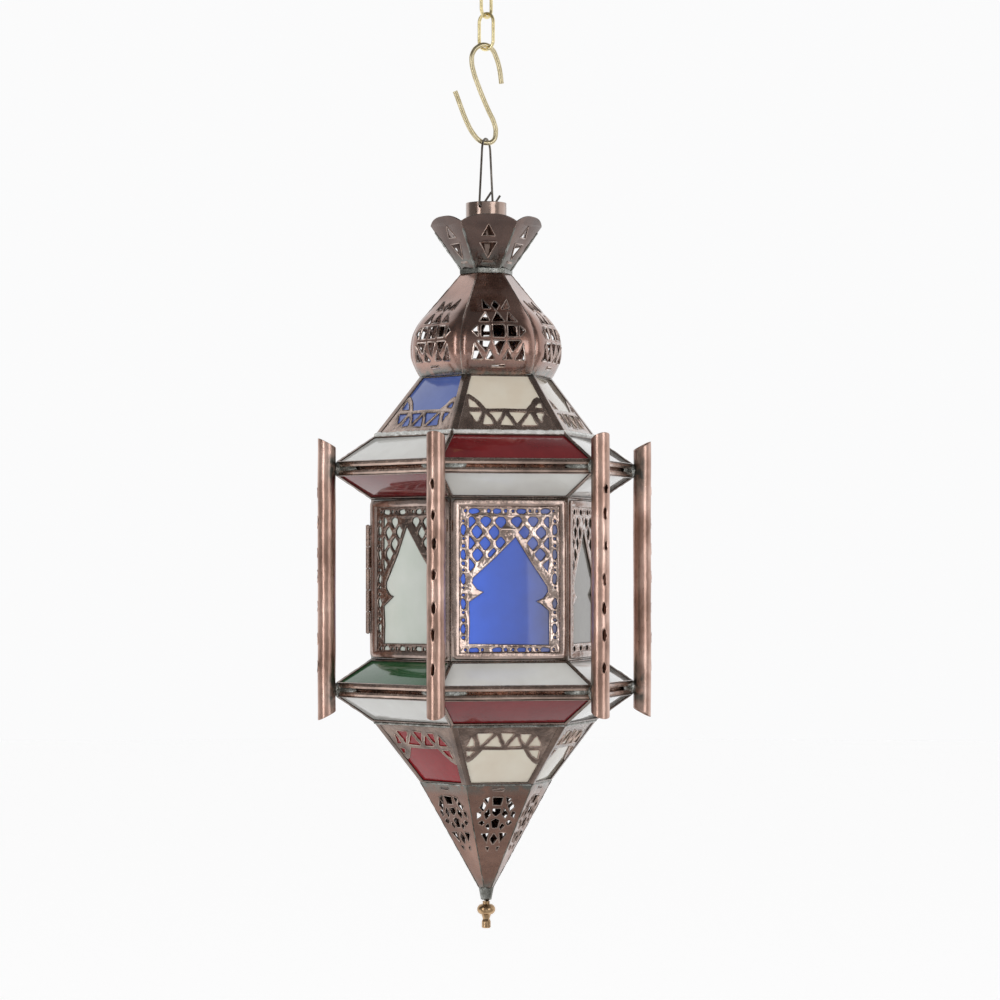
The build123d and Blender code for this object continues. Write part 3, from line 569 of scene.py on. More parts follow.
# %% [markdown]
# Holes are drawn as short lists of corners. These helpers round the corners, let the outline wobble
# as a hand with a chisel leaves it, make a hole larger, and mirror it.


# %% Drawing a hole
def rounded(points, radius, steps=2):
    """The outline with its corners rounded off."""
    smooth = []
    for index, point in enumerate(points):
        corner = Vector(point)
        before = Vector(points[index - 1]) - corner
        after = Vector(points[(index + 1) % len(points)]) - corner
        cut = min(radius, 0.45 * before.length, 0.45 * after.length)
        start = corner + before.normalized() * cut
        end = corner + after.normalized() * cut
        for step in range(steps + 1):
            t = step / steps
            spot = start * (1 - t) ** 2 + corner * 2 * t * (1 - t) + end * t**2
            smooth.append((spot.x, spot.y))
    return smooth


def wobbled(points, amount, chance):
    """The same outline without crowded points, each a little off its place."""
    spaced = []
    for index, point in enumerate(points):
        if (Vector(point) - Vector(points[index - 1])).length > 0.3:
            spaced.append(point)
    moved = []
    for index, (x, y) in enumerate(spaced):
        before, after = Vector(spaced[index - 1]), Vector(spaced[(index + 1) % len(spaced)])
        room = min((Vector((x, y)) - before).length, (Vector((x, y)) - after).length)
        sway = min(amount, 0.3 * room)
        moved.append((x + chance.uniform(-sway, sway), y + chance.uniform(-sway, sway)))
    return moved


def cut_hole(points, radius, sway, chance):
    """A hole as the chisel leaves it: corners a little round, sides a little off their line."""
    return wobbled(rounded(points, radius), sway, chance)


def middle_of(points):
    """The middle of an outline's points."""
    return sum((Vector(point) for point in points), Vector((0, 0))) / len(points)


def scaled(points, middle, share):
    """The outline made larger or smaller about a point."""
    return [tuple(middle + share * (Vector(point) - middle)) for point in points]


def both_hands(outlines):
    """Each outline and its mirror image."""
    return outlines + [[(-x, y) for x, y in reversed(points)] for points in outlines]


# %% [markdown]
# Some holes are long ovals, and the net of a screen is cut off where it meets its arch. An oval is
# points round an ellipse. A hole is cut by keeping the corners on one side of a line, and adding
# the two points where the outline crosses it.


# %% Ovals and holes that are cut off
def oval(x, y, length, width, lean=0.0, count=12):
    """A long hole, its length along x unless it leans."""
    spots = []
    turn = radians(lean)
    for step in range(count):
        along = length / 2 * cos(2 * pi * step / count)
        across = width / 2 * sin(2 * pi * step / count)
        spots.append((x + along * cos(turn) - across * sin(turn), y + along * sin(turn) + across * cos(turn)))
    return spots


def clipped(points, normal, limit):
    """The part of an outline on the near side of a straight line."""
    kept = []
    for index, point in enumerate(points):
        other = points[(index + 1) % len(points)]
        here = point[0] * normal[0] + point[1] * normal[1] - limit
        there = other[0] * normal[0] + other[1] * normal[1] - limit
        if here <= 0:
            kept.append(point)
        if here * there < 0:
            share = here / (here - there)
            kept.append((point[0] + (other[0] - point[0]) * share, point[1] + (other[1] - point[1]) * share))
    return kept


def area(points):
    """The area inside an outline."""
    total = 0
    for index, (x, y) in enumerate(points):
        following = points[(index + 1) % len(points)]
        total += x * following[1] - following[0] * y
    return abs(total) / 2


# %% [markdown]
# The chisel throws up a lip round a hole, and two cuts that ran into each other would tear the
# sheet. So before a sheet is cut, each hole is compared with those beside it, and made smaller
# until a bar of metal is left between them.


# %% Room between the holes
def nearest(first, second):
    """Smallest distance from the points of one outline to the sides of another."""
    least = 1000.0
    for x, y in first:
        for index, (ax, ay) in enumerate(second):
            run, rise = second[index - 1][0] - ax, second[index - 1][1] - ay
            share = ((x - ax) * run + (y - ay) * rise) / (run * run + rise * rise or 1)
            share = max(0, min(1, share))
            least = min(least, hypot(x - ax - share * run, y - ay - share * rise))
    return least


def kept_apart(outline, holes, bar):
    """The holes, each cut smaller until a bar of metal is left beside it, or left out."""
    kept = [outline]
    for hole in holes:
        middle = middle_of(hole)
        reach = max((Vector(point) - middle).length for point in hole) + bar
        for _ in range(9):
            beside = [other for other in kept if nearest([middle], other) < reach]
            if all(min(nearest(hole, other), nearest(other, hole)) > bar for other in beside):
                kept.append(hole)
                break
            hole = scaled(hole, middle, 0.92)
    return kept[1:]


# %% [markdown]
# Wires, beads and runs of solder are round bars, and a curve with a round bevel gives one along any
# path. The curve becomes a mesh, whose points are merged where they meet. With a chance, the line
# and the thickness wander, as they do on handwork.

# %% Curves and round bars
merge_gap = 0.002


def new_curve(paths, closed):
    """A curve object through these paths."""
    piece = choose(added(bpy.ops.curve.primitive_bezier_circle_add, radius=1))
    piece.data.splines.clear()
    for path in paths:
        spline = piece.data.splines.new("POLY")
        spline.points.add(len(path) - 1)
        for spot, place in zip(spline.points, path):
            spot.co = (*place, 1) if len(place) == 3 else (*place, 0, 1)
        spline.use_cyclic_u = closed
    return piece


def as_mesh(curve):
    """The curve as a mesh with its doubled points merged."""
    choose(curve)
    bpy.ops.object.convert(target="MESH")
    return edit(bpy.context.object, lambda: bpy.ops.mesh.remove_doubles(threshold=merge_gap))


def round_bars(paths, thickness, closed=False, chance=None, wander=0.0):
    """Round bars along paths in millimetres; with a chance, their line and thickness wander."""
    bars = new_curve(paths, closed)
    bars.data.dimensions = "3D"
    bars.data.bevel_depth = thickness
    bars.data.bevel_resolution = 2
    bars.data.use_fill_caps = not closed
    if chance:
        for spline in bars.data.splines:
            for spot in spline.points:
                nudge = [chance.uniform(-0.4, 0.4) * wander * thickness for _ in range(3)]
                spot.co = (spot.co.x + nudge[0], spot.co.y + nudge[1], spot.co.z + nudge[2], 1)
                spot.radius = 1 + chance.uniform(-wander, wander)
    return as_mesh(bars)


# %% [markdown]
# Everything pierced on this lantern is copper sheet with holes chiselled through it and the edges
# beaten round. A flat curve does this well: one outline and many holes fill as a sheet, and the
# curve's bevel rolls every edge. It becomes a mesh, gets cut into rows where it has to bend, and is
# then laid on its side of the lantern. The faces are marked by their slope: flat, wall or shoulder,
# so that the walls of the holes can be dark, partly with patina and partly with painted shade, and
# the shoulders rubbed bright.

# %% Pierced sheet
face_marks = [bpy.data.materials.new(f"{name}_mark") for name in ("flat", "wall", "shoulder")]
flat, wall, shoulder = range(3)


def marked(piece, choose_mark):
    """Mark each face as flat, wall or shoulder; joining keeps marks that are materials."""
    for mark in face_marks:
        piece.data.materials.append(mark)
    for face in piece.data.polygons:
        face.material_index = choose_mark(face)
    return piece


def mark_by_slope(face):
    """What a face of the flat sheet is, by how far it leans."""
    level = abs(face.normal.z)
    return wall if level < 0.5 else shoulder if level < 0.95 else flat


def pierced_sheet(outline, holes, half, rim, rows=(), columns=(), lip=0.0):
    """Flat sheet in millimetres on the XY plane, twice half thick, with rolled edges and raised lips."""
    holes = kept_apart(outline, holes, 2 * rim + 0.12)
    sheet = new_curve([outline, *holes], True)
    sheet.data.dimensions = "2D"
    sheet.data.fill_mode = "BOTH"
    sheet.data.extrude = half - rim
    sheet.data.bevel_depth = rim
    sheet.data.bevel_resolution = 2
    sheet.data.offset = -rim
    sheet = as_mesh(sheet)
    for values, normal in ((rows, (0, 1, 0)), (columns, (1, 0, 0))):
        for value in values:
            spot = (normal[0] * value, normal[1] * value, 0)
            edit(sheet, lambda: bpy.ops.mesh.bisect(plane_co=spot, plane_no=normal))
    edit(sheet, lambda: bpy.ops.mesh.normals_make_consistent(inside=False))
    marked(sheet, mark_by_slope)
    if lip:
        rims = [[(x, y, half - 0.1) for x, y in points] for points in holes]
        lips = round_bars(rims, lip, closed=True, chance=random.Random(len(holes)), wander=0.35)
        sheet = join([sheet, marked(lips, lambda face: shoulder)])
    return sheet


def beaten(sheet, height, pitch, chance):
    """The sheet with low dents of this height all over, as a hammer leaves it."""
    beat = chance.uniform(0, 50)

    def dent(co):
        return co + Vector((0, 0, height * noise.noise(Vector((co.x * pitch + beat, co.y * pitch, 0)))))
    return move_points(sheet, dent)


# %% [markdown]
# Each side of a tier is a pane held in a flat copper strip. The strip is a sheet with one large
# hole, dark on its flat and rubbed at its edges, and the pane is a sheet with none. Panes of one
# colour in one tier are one piece. Under the lantern the strips take a darker copy of their copper,
# as painted shade.

# %% Strips and panes of the tiers
# Each tier: its sides, the strip's width at the hips, top and foot, and the sides of each colour
glazing = (
    ("upper_canopy", upper_canopy, (3.9, 1.5, 2.4), {
        "clear": (front, right, back, back_left), "blue": (left,), "red": (back_right,)}),
    ("upper_eave", upper_eave, (2, 1.2, 0.95), {
        "clear": (right, back, left), "red": (front, back_right, back_left)}),
    ("upper_soffit", upper_soffit, (2, 0.95, 1.3), {
        "clear": (front, right, back, back_left), "red": (left, back_right)}),
    ("lower_soffit", lower_soffit, (2, 1.3, 0.95), {
        "clear": (front, right, back, back_left), "green": (left, back_right)}),
    ("lower_eave", lower_eave, (2, 0.95, 1.8), {
        "clear": (right, back, left), "red": (front, back_right, back_left)}),
    ("lower_canopy", lower_canopy, (3.9, 2.4, 1.5), {
        "clear": (front, right, back, back_left), "red": (left,), "blue": (back_right,)}),
)
plain_panes = {"clear": milk_glass, "blue": blue_glass, "red": red_glass, "green": green_glass}
special_panes = {
    ("upper_canopy", "clear"): cream_glass, ("lower_canopy", "clear"): cream_glass,
    ("lower_canopy", "red"): red_glass_painted_light, ("lower_eave", "red"): wine_glass}
plain_strips = (strip_copper, chiselled, edge_copper)
painted_shade_strips = (painted_shade_strip, chiselled, strip_copper)
strip_half, pane_half, pane_cover, pane_sink = 1.5, 0.9, 0.6, 1.9
for tier_name, tier, widths, colours in glazing:
    strip = pierced_sheet(
        side_outline(tier, 0.1, 0.05, 0.05), [side_outline(tier, *widths)], strip_half, rim=0.3)
    strip.data.transform(side_frame(tier, -strip_half))
    # Painted shade: the lower eave and lower canopy strips take the darker copy of their copper
    strip_finishes = painted_shade_strips if tier_name in ("lower_eave", "lower_canopy") else plain_strips
    finish(ring(strip), f"{tier_name}_strips", "copper_came", strip_finishes, f"{tier_name}_came")
    for colour, turns in colours.items():
        pane_outline = side_outline(tier, *[width - pane_cover for width in widths])
        pane = pierced_sheet(pane_outline, [], pane_half, rim=0.2)
        pane.data.transform(side_frame(tier, -pane_sink))
        glass = special_panes.get((tier_name, colour), plain_panes[colour])
        finish(ring(pane, turns), f"{tier_name}_pane_{colour}", f"glass_{colour}", (glass,),
               f"{tier_name}_glass_{colour}")


# %% [markdown]
# The window and door casings already have the right shape with knife edges. A copy of the solid's
# mesh is merged, its flat faces are dissolved into single faces, and a bevel rounds the edges.


# %% Casings of the windows and the door
def folded_copy(node_name, name, body):
    """A casing as its solid is, with rounded and rubbed edges."""
    piece = bpy.data.objects.new(name, nodes[node_name].data.copy())
    bpy.context.scene.collection.objects.link(piece)
    choose(piece)
    bpy.ops.mesh.customdata_custom_splitnormals_clear()
    edit(
        piece,
        lambda: bpy.ops.mesh.remove_doubles(threshold=merge_gap * 2 * MM),
        lambda: bpy.ops.mesh.dissolve_limited(angle_limit=radians(1)),
    )
    finishes = (strip_copper, edge_copper)
    piece.data.materials.clear()
    for material in finishes:
        piece.data.materials.append(material)
    round_edge = piece.modifiers.new("rounded", "BEVEL")
    round_edge.width = 0.5 * MM
    round_edge.segments = 2
    round_edge.limit_method = "ANGLE"
    round_edge.angle_limit = radians(35)
    round_edge.material = 1
    bpy.ops.object.modifier_apply(modifier="rounded")
    return finish(piece, name, "copper_came", finishes, node_name, body=body)


folded_copy("window_frames", "window_casings", "lantern")
folded_copy("door_frame", "door_casing", "door")

# %% [markdown]
# The screens carry the finest work: a border of long and round holes, a net of diamonds and a
# keyhole arch. The arch is drawn from its apex down each side, as a shoulder, a scallop, a cusp and
# a jamb, and the holes of the net stop short of its sloping line.

# %% Keyhole arch of a screen
jamb_x, sill_y = 27, -43.2


def arch_side(hand, apex, shoulder, lift):
    """One side of the keyhole from its apex down: shoulder, scallop, cusp, jamb and sill."""
    cusp = (shoulder[0] - 7.4, shoulder[1] - 9.6)
    middle = ((apex[0] * hand + shoulder[0]) / 2 - 0.5, (apex[1] + shoulder[1]) / 2 - 0.4)
    points = [middle, shoulder, (shoulder[0] + 0.6, shoulder[1] - 3.4)]
    points += [(shoulder[0] - 2.6, shoulder[1] - 7.6), cusp, (cusp[0] + 4, cusp[1] - 2.6)]
    points += [(27.3, cusp[1] - 6.4), (jamb_x, -30), (27.4, sill_y + 0.2 * lift)]
    return [(hand * x, y) for x, y in points]


def past_arch(points, apex, shoulder, hand):
    """The part of a hole outside the arch line, with a bar's width to spare."""
    drop, run = apex[1] - shoulder[1], shoulder[0] - hand * apex[0]
    size = hypot(drop, run)
    normal = (hand * drop / size, run / size)
    limit = normal[0] * apex[0] + normal[1] * apex[1] + 2.2
    return clipped(points, (-normal[0], -normal[1]), -limit)


# %% [markdown]
# The net is a staggered grid of diamonds, cut off along the arch and the border; what is left of a
# diamond is cut only if it is large enough for the chisel. The border is a row of long holes with a
# small round one at each end.

# %% Net and border of a screen
net_side, net_head = 27.4, 41.8
net_pitch, net_row, net_top = 10.9, 7.4, 39
diamond = [(-4.1, 0), (0, -4.9), (4.1, 0), (0, 4.9)]
least_hole = 8
border_levels, border_places = (45.6, -47.2), (-24.2, -8.2, 8.4, 24.8)
border_sides, border_heights = (-31.4, 31.4), (33.2, 16.6, 0.4, -16.2, -33)


def net_holes(chance, apex, right_shoulder, left_shoulder):
    """The diamonds of the net that lie above the arch."""
    holes = []
    for row in range(5):
        for column in range(-3, 3):
            x = (column + (0.5 if row % 2 == 0 else 0)) * net_pitch + chance.uniform(-0.5, 0.5)
            y = net_top - row * net_row + chance.uniform(-0.4, 0.4)
            points = [(x + dx, y + dy) for dx, dy in diamond]
            for normal, limit in (((1, 0), net_side), ((-1, 0), net_side), ((0, 1), net_head)):
                points = clipped(points, normal, limit)
            if x > apex[0] - 4.5:
                points = past_arch(points, apex, right_shoulder, 1)
            if x < apex[0] + 4.5:
                points = past_arch(points, apex, left_shoulder, -1)
            if len(points) > 2 and area(points) > least_hole:
                holes.append(cut_hole(points, 1.5, 0.3, chance))
    return holes


def border_holes(chance):
    """Long holes round the edge, each between two round ones."""
    holes = []
    for y in border_levels:
        for x in border_places:
            holes.append(wobbled(oval(x, y, chance.uniform(5.8, 7), 3.4), 0.3, chance))
            holes += [wobbled(oval(x + dot, y + 0.2, 2.2, 2.4, 0, 8), 0.12, chance) for dot in (-5.8, 5.8)]
    for x in border_sides:
        for y in border_heights:
            holes.append(wobbled(oval(x, y, chance.uniform(6, 7.2), 3.1, 90), 0.3, chance))
            holes += [wobbled(oval(x, y + dot, 2.2, 2.4, 90, 8), 0.12, chance) for dot in (-5.9, 5.9)]
    return holes


# %% [markdown]
# No two screens are cut quite alike, so each is drawn with its own chance, and the front one has its
# arch a little to the right and its right shoulder low. The door's screen is a piece of its own,
# because it swings with the door, and its copper is a darker copy, as painted shade.

# %% Window and door screens
opening_x, opening_y = 36.4, 51.2
window_turns = (front, right, back_right, back, back_left)
front_arch = (4.4, 28.2, -3.4, 2.6)
door_arch = (-4, 36, 0.6, -0.6)


def rectangle(x, y):
    """The corners of a rectangle about the middle."""
    return [(-x, -y), (x, -y), (x, y), (-x, y)]


def screen_sheet(chance, apex_x, apex_y, right_lift, left_lift):
    """A pierced screen on the front side, its apex and its two shoulders where they are asked for."""
    apex = (apex_x, apex_y)
    right_shoulder = (26.2, -1.6 + right_lift)
    left_shoulder = (24.6, -1.6 + left_lift)
    right_side = arch_side(1, apex, right_shoulder, right_lift)
    left_side = arch_side(-1, apex, left_shoulder, left_lift)
    holes = [wobbled([apex, *right_side, *reversed(left_side)], 0.3, chance)]
    holes += net_holes(chance, apex, right_shoulder, left_shoulder)
    holes += border_holes(chance)
    sheet = pierced_sheet(rectangle(opening_x, opening_y), holes, half=0.9, rim=0.78)
    beaten(sheet, 0.5, 0.28, chance)
    sheet.data.transform(side_frame(window, -0.85))
    return sheet


screens = []
for turn in window_turns:
    chance = random.Random(11 + turn)
    arch = front_arch
    if turn != front:
        arch = (chance.uniform(-3, 3), chance.uniform(28, 35), 0.6, -0.6)
    screens.append(turned_by(screen_sheet(chance, *arch), turn))
finish(join(screens), "window_fretwork", "copper_screen", (screen_copper, chiselled, screen_copper),
       "window_screens")
door_screen = turned_by(screen_sheet(random.Random(7), *door_arch), left)
finish(door_screen, "door_fretwork", "copper_screen", (door_painted_shade_copper, chiselled, door_painted_shade_copper), "door_screen",
       body="door")

# %% [markdown]
# A broad half-round bead frames each screen. It is a round bar bent to a rectangle and flattened,
# with a slight wave, since it is bent over a wooden block by hand. The door's own bead swings with it.

# %% Beads round the windows
bead_x, bead_y, bead_radius = 36.7, 51.1, 2.65
bead_flatness = 0.58


def bead_path():
    """Eight points along each edge, which keep a little off the corners."""
    path = []
    corners = rectangle(bead_x, bead_y)
    for index, (x, y) in enumerate(corners):
        next_x, next_y = corners[(index + 1) % 4]
        for step in range(8):
            share = 0.008 + 0.984 * step / 7
            path.append((x + (next_x - x) * share, y + (next_y - y) * share, 0))
    return path


def flatten_bead(co):
    """A point of the bead, pressed flat and waved."""
    return Vector((co.x, co.y, bead_flatness * co.z)) + 0.3 * noise.noise_vector(co * 0.07)


bead = move_points(round_bars([bead_path()], bead_radius, closed=True), flatten_bead)
bead.data.transform(side_frame(window, 0.1))
door_bead = twin(bead, left)
finish(ring(bead, window_turns), "window_beads", "copper_came", (bead_copper,))
finish(door_bead, "door_bead", "copper_came", (bead_copper,), body="door")

# %% [markdown]
# The canopies have a strip of lattice along their wide edge: a solid border, bars that lean like a
# small truss, a rail, a round lobe in each corner and a horn that climbs each hip. It is drawn by
# its holes, with heights up the slope from the wide edge. The lower one hangs upside down.

# %% Canopy lattices
lattice_outline = [
    (-37, 0.3), (-33.4, 9), (-30.4, 18), (-27.6, 26), (-25.8, 31.6), (-23.2, 33), (-20.4, 30.6),
    (-16.4, 26.4), (-12.6, 20.3), (0.2, 20.8), (14.8, 20.5), (18, 24.6), (21, 29), (24, 31), (26.6, 28.6),
    (29.2, 20), (32.4, 11.5), (37, 0.3)]
lattice_holes = [
    [(-24.8, 20.6), (-16.2, 20.6), (-19.6, 26.2), (-24.2, 29.4)],
    [(-25.6, 17.8), (-15.4, 17.8), (-18.6, 11), (-20.6, 7.6), (-23.4, 12.8)],
    [(-13.8, 16.8), (-10.8, 13), (-8.8, 6.8), (-17.2, 6.4)],
    [(-12, 17.9), (-0.9, 18.1), (-4.3, 12), (-7, 8), (-9.1, 13.5)],
    [(0.2, 16.9), (-2.2, 11.5), (-5.8, 6), (5.2, 5.4), (2.3, 12.5)],
    [(1.7, 18.2), (15.8, 18), (11, 12.3), (7, 7), (4.1, 13)],
    [(17.6, 18), (12.4, 11.2), (8.7, 5.8), (21.8, 5.8), (19.1, 12)],
    [(21, 17.7), (27.2, 17.4), (25.6, 13.5), (24.3, 8), (21.9, 12.5)],
    [(20.2, 20.7), (26.8, 20.2), (25.6, 26), (23.2, 25.4)]]
lattice_sink = -1.2
lattice_opening = 0.94


def opened(points, share):
    """The outline made larger or smaller about its middle."""
    return scaled(points, middle_of(points), share)


def lattice_sheet(chance):
    """The lattice of the upper canopy, wide edge down."""
    low = -slope_length(upper_canopy) / 2 + 0.6
    holes = [opened([(x, low + y) for x, y in points], lattice_opening) for points in lattice_holes]
    holes = [cut_hole(points, 1.4, 0.25, chance) for points in holes]
    outline = wobbled([(x, low + y) for x, y in lattice_outline], 0.25, chance)
    return beaten(pierced_sheet(outline, holes, half=0.8, rim=0.6, lip=0.4), 0.3, 0.2, chance)


lattices = (
    ("upper_canopy", upper_canopy, 21, 0, (lattice_copper, chiselled, edge_copper)),
    # The lower lattice takes a darker copy of the lattice copper, as painted shade
    ("lower_canopy", lower_canopy, 22, pi, (painted_shade_lattice, chiselled, lattice_copper)))
for tier_name, tier, seed, half_turn, finishes in lattices:
    lattice = lattice_sheet(random.Random(seed))
    lattice.data.transform(side_frame(tier, lattice_sink) @ Matrix.Rotation(half_turn, 4, "Z"))
    finish(ring(lattice), f"{tier_name}_fretwork", "copper_screen", finishes, f"{tier_name}_lattice")

# %% [markdown]
# A dome petal runs straight down from the waist, then bends round and in to the throat. Its side
# line is a straight line that touches an arc, and both come from four sizes: the waist, the bulge,
# the throat and the radius of the bend. Everything else on the dome asks this line where it is.

# %% Line of the dome
dome_curve = 39
bulge_apothem = 51.6 * cos30
throat_apothem = throat_radius * cos30
curve_x = bulge_apothem - dome_curve
curve_z = dome_foot + sqrt(dome_curve**2 - (throat_apothem - curve_x) ** 2)
to_curve = hypot(curve_x - waist_apothem, waist_foot - curve_z)
petal_lean = asin(dome_curve / to_curve) + atan2(curve_x - waist_apothem, waist_foot - curve_z)
straight = sqrt(to_curve**2 - dome_curve**2)
foot_angle = -asin((curve_z - dome_foot) / dome_curve)
petal_length = straight + dome_curve * (petal_lean - foot_angle)


def dome_line(along):
    """Point (distance from the axis, height) and outward direction, along the petal from its head."""
    if along <= straight:
        x = waist_apothem + along * sin(petal_lean)
        z = waist_foot - along * cos(petal_lean)
        return x, z, cos(petal_lean), sin(petal_lean)
    angle = petal_lean - (along - straight) / dome_curve
    return curve_x + dome_curve * cos(angle), curve_z + dome_curve * sin(angle), cos(angle), sin(angle)


def along_at(depth):
    """Length along the petal at a depth under the waist."""
    tangent_depth = straight * cos(petal_lean)
    if depth <= tangent_depth:
        return depth / cos(petal_lean)
    return straight + dome_curve * (petal_lean - asin((waist_foot - depth - curve_z) / dome_curve))


print("petal length", round(petal_length, 1), "straight", round(straight, 1))

# %% [markdown]
# The petal is pierced flat, while that is easy, and cut into rows and columns so that it can bend.
# Its pattern is drawn as the right half and the middle, by the depth of each corner under the waist.

# %% Flat dome petal
dome_chance = random.Random(31)
petal_half = 0.5
petal_edge = []
for step in range(31):
    along = petal_length * step / 30
    petal_edge.append((dome_line(along)[0] * tan30 - 0.12, -along))
petal_outline = petal_edge + [(-x, y) for x, y in reversed(petal_edge)]
petal_right = [
    [(3.4, 27.5), (8.8, 28.1), (8.2, 20)],
    [(5.4, 37.2), (12, 37.4), (7.4, 30.3)],
    [(5.5, 39.7), (11.2, 39.8), (11.2, 46.8), (5.5, 46.8)],
    [(13.1, 39.8), (16.8, 43.3), (13.1, 47.1)],
    [(5.4, 49.4), (13.8, 49.4), (8.4, 56.3)],
    [(10, 60.7), (16.8, 61.1), (15.4, 51.2)],
    [(2.6, 60.9), (8.4, 60.9), (5.8, 54.5)]]
petal_middle = [
    [(-2.7, 24.8), (0, 29), (2.7, 24.8), (0, 20.7)],
    [(-3.9, 37.2), (3.9, 37.2), (0, 30.1)],
    [(-3.6, 39.7), (3.6, 39.7), (3.6, 46.8), (-3.6, 46.8)],
    [(-3.8, 49.4), (3.8, 49.4), (0, 58.3)],
    [(-4.2, 64.2), (4.2, 64.2), (3.8, 65.6), (-3.8, 65.6)]]
petal_holes = []
for points in both_hands(petal_right) + petal_middle:
    laid = [(x, -along_at(depth)) for x, depth in points]
    petal_holes.append(cut_hole(opened(laid, 1.1), 1.1, 0.3, dome_chance))
bend_rows = [-straight - dome_curve * (petal_lean - foot_angle) * step / 16 for step in range(16)]
bend_rows += [-straight * step / 5 for step in range(1, 5)]
roll_columns = [1.7 * step for step in range(-15, 16)]
petal = pierced_sheet(petal_outline, petal_holes, petal_half, 0.38, bend_rows, roll_columns, lip=0.55)
print("holes drawn in a petal", len(petal_holes))

# %% [markdown]
# Now each point of the flat petal is moved on to the dome's line. Above, the petals stay flat, and
# at the bulge they are rolled, so that they swell between their hips and tuck in at the foot. The
# dome was soldered on a little turned, and the petals keep that twist.

# %% Bent dome petals
petal_bulge, petal_roll, petal_tuck = 4.4, 5, 14
dome_twist = -2.5


def bend_petal(co):
    """Where a point of the flat petal lies on the dome."""
    along = min(max(-co.y, 0), petal_length)
    x, z, out_x, out_z = dome_line(along)
    rise = min(1, max(0, along / straight - 0.5))
    swell = rise * rise * (3 - 2 * rise) * min(1, 0.4 + 0.6 * (petal_length - along) / petal_tuck)
    swell *= max(0, 1 - abs(co.x / (x * tan30)) ** petal_roll)
    lift = co.z - petal_half + petal_bulge * swell
    return Vector((co.x * (1 + lift / x), -(x + lift * out_x), z + lift * out_z)) * MM


move_points(petal, bend_petal)
for number, turn in enumerate(side_turns, 1):
    finish(twin(petal, turn + dome_twist), f"dome_leaf_{number}", "copper_sheet",
           (dome_copper, chiselled, lip_copper), f"dome_petal_{number}")
bpy.data.objects.remove(petal)

# %% [markdown]
# The crown's petals are flat, with an arched top, pointed corners and a diamond split by a bar. They
# flare out from the waist, a little turned against the tiers below. A pierced sheet laid on its
# side's face gives them directly.

# %% Crown petals
crown_chance = random.Random(41)
crown_twist = -9.5
crown_sheet_half = 0.45
crown_half = slope_length(crown) / 2
crown_tip = crown_half + 2.7
crown_side = half_width(crown, crown_tip, 0.1)
crown_foot_side = half_width(crown, -crown_half, 0.1)
crown_arch = 5.5
crown_outline = [(-crown_foot_side, -crown_half), (crown_foot_side, -crown_half)]
for step in range(21):
    x = crown_side * (1 - step / 10)
    crown_outline.append((x, crown_tip + crown_arch * (1 - abs(x / crown_side) ** 2.8)))
crown_cuts = [
    [(0, 7.4), (6, 19.8), (-6, 19.8)], [(-4.8, 24.2), (4.8, 24.2), (0, 33.4)],
    [(-3.8, 4.6), (3.8, 4.6), (3.4, 5.6), (-3.4, 5.6)]]
crown_holes = []
for points in crown_cuts:
    crown_holes.append(cut_hole([(x, y - crown_half) for x, y in points], 0.8, 0.2, crown_chance))
crown_petal = pierced_sheet(crown_outline, crown_holes, crown_sheet_half, rim=0.3, lip=0.45)
crown_turn = Matrix.Rotation(radians(crown_twist), 4, "Z")
crown_petal.data.transform(crown_turn @ side_frame(crown, -crown_sheet_half))
finish(ring(crown_petal), "crown_flare", "copper_sheet", (crown_copper, chiselled, edge_copper),
       "crown_petals")

# %% [markdown]
# The spike closes the lantern with six long triangles, and each carries a rosette of small holes
# near its wide end and a slit above it. The rosette is drawn by depth under the wide edge, and is
# stretched a little down the triangle.

# %% Spike facets
spike_chance = random.Random(51)
facet_half = 0.5
spike_half = slope_length(spike) / 2
rosette_top, rosette_stretch, rosette_spread = 9, 0.18, 1.04
spike_right = [
    [(9.4, 12.2), (12, 16), (8.8, 19), (7.2, 14.6)],
    [(5.4, 9.2), (9.4, 10.6), (6.4, 13.8)],
    [(10.4, 18.4), (13.2, 19.6), (12.4, 24), (9.6, 22.2)],
    [(5, 16.6), (8.2, 20.4), (6.6, 24), (3.6, 21)],
    [(9.2, 24.6), (11.4, 26.4), (8.6, 28.4), (7, 26.4)],
    [(4.6, 26.6), (6.6, 28.6), (4, 31.4), (3, 29)],
    [(3.6, 33.2), (8.6, 33.8), (4.4, 40)],
    [(2.4, 42.6), (4.8, 42.4), (3, 45.6)]]
spike_middle = [
    [(-3.6, 9.4), (3.6, 9.4), (2.6, 14.6), (-2.6, 14.6)],
    [(-2.9, 16.6), (2.9, 16.6), (3.3, 20), (0, 22.6), (-3.3, 20)],
    [(-3.1, 25), (0, 23.2), (3.1, 25), (1.8, 30), (-1.8, 30)],
    [(0, 33.2), (2.7, 37), (0, 41), (-2.7, 37)],
    [(-3.9, 3), (3.9, 3), (3.4, 4.4), (-3.4, 4.4)]]
spike_holes = []
for points in both_hands(spike_right) + spike_middle:
    placed = []
    for x, depth in points:
        stretch = rosette_stretch * max(0, depth - rosette_top)
        placed.append((rosette_spread * x, spike_half - depth - stretch))
    spike_holes.append(cut_hole(opened(placed, 1.1), 0.8, 0.22, spike_chance))
facet = pierced_sheet(side_outline(spike, 0.1, 0, 0), spike_holes, facet_half, rim=0.24, lip=0.4)
facet.data.transform(side_frame(spike, -facet_half))
finish(ring(facet), "spike_cone", "copper_sheet", (spike_copper, chiselled, strip_copper), "spike_facets")

# %% [markdown]
# The columns are sheet rolled into a tube. They are pierced flat like the rest, cut into narrow
# columns, and each point is wound round the tube's axis. The ends slant, with the outer side longer,
# and each slot is a rough chisel cut with a curled lip. The two front ones sit a little higher.

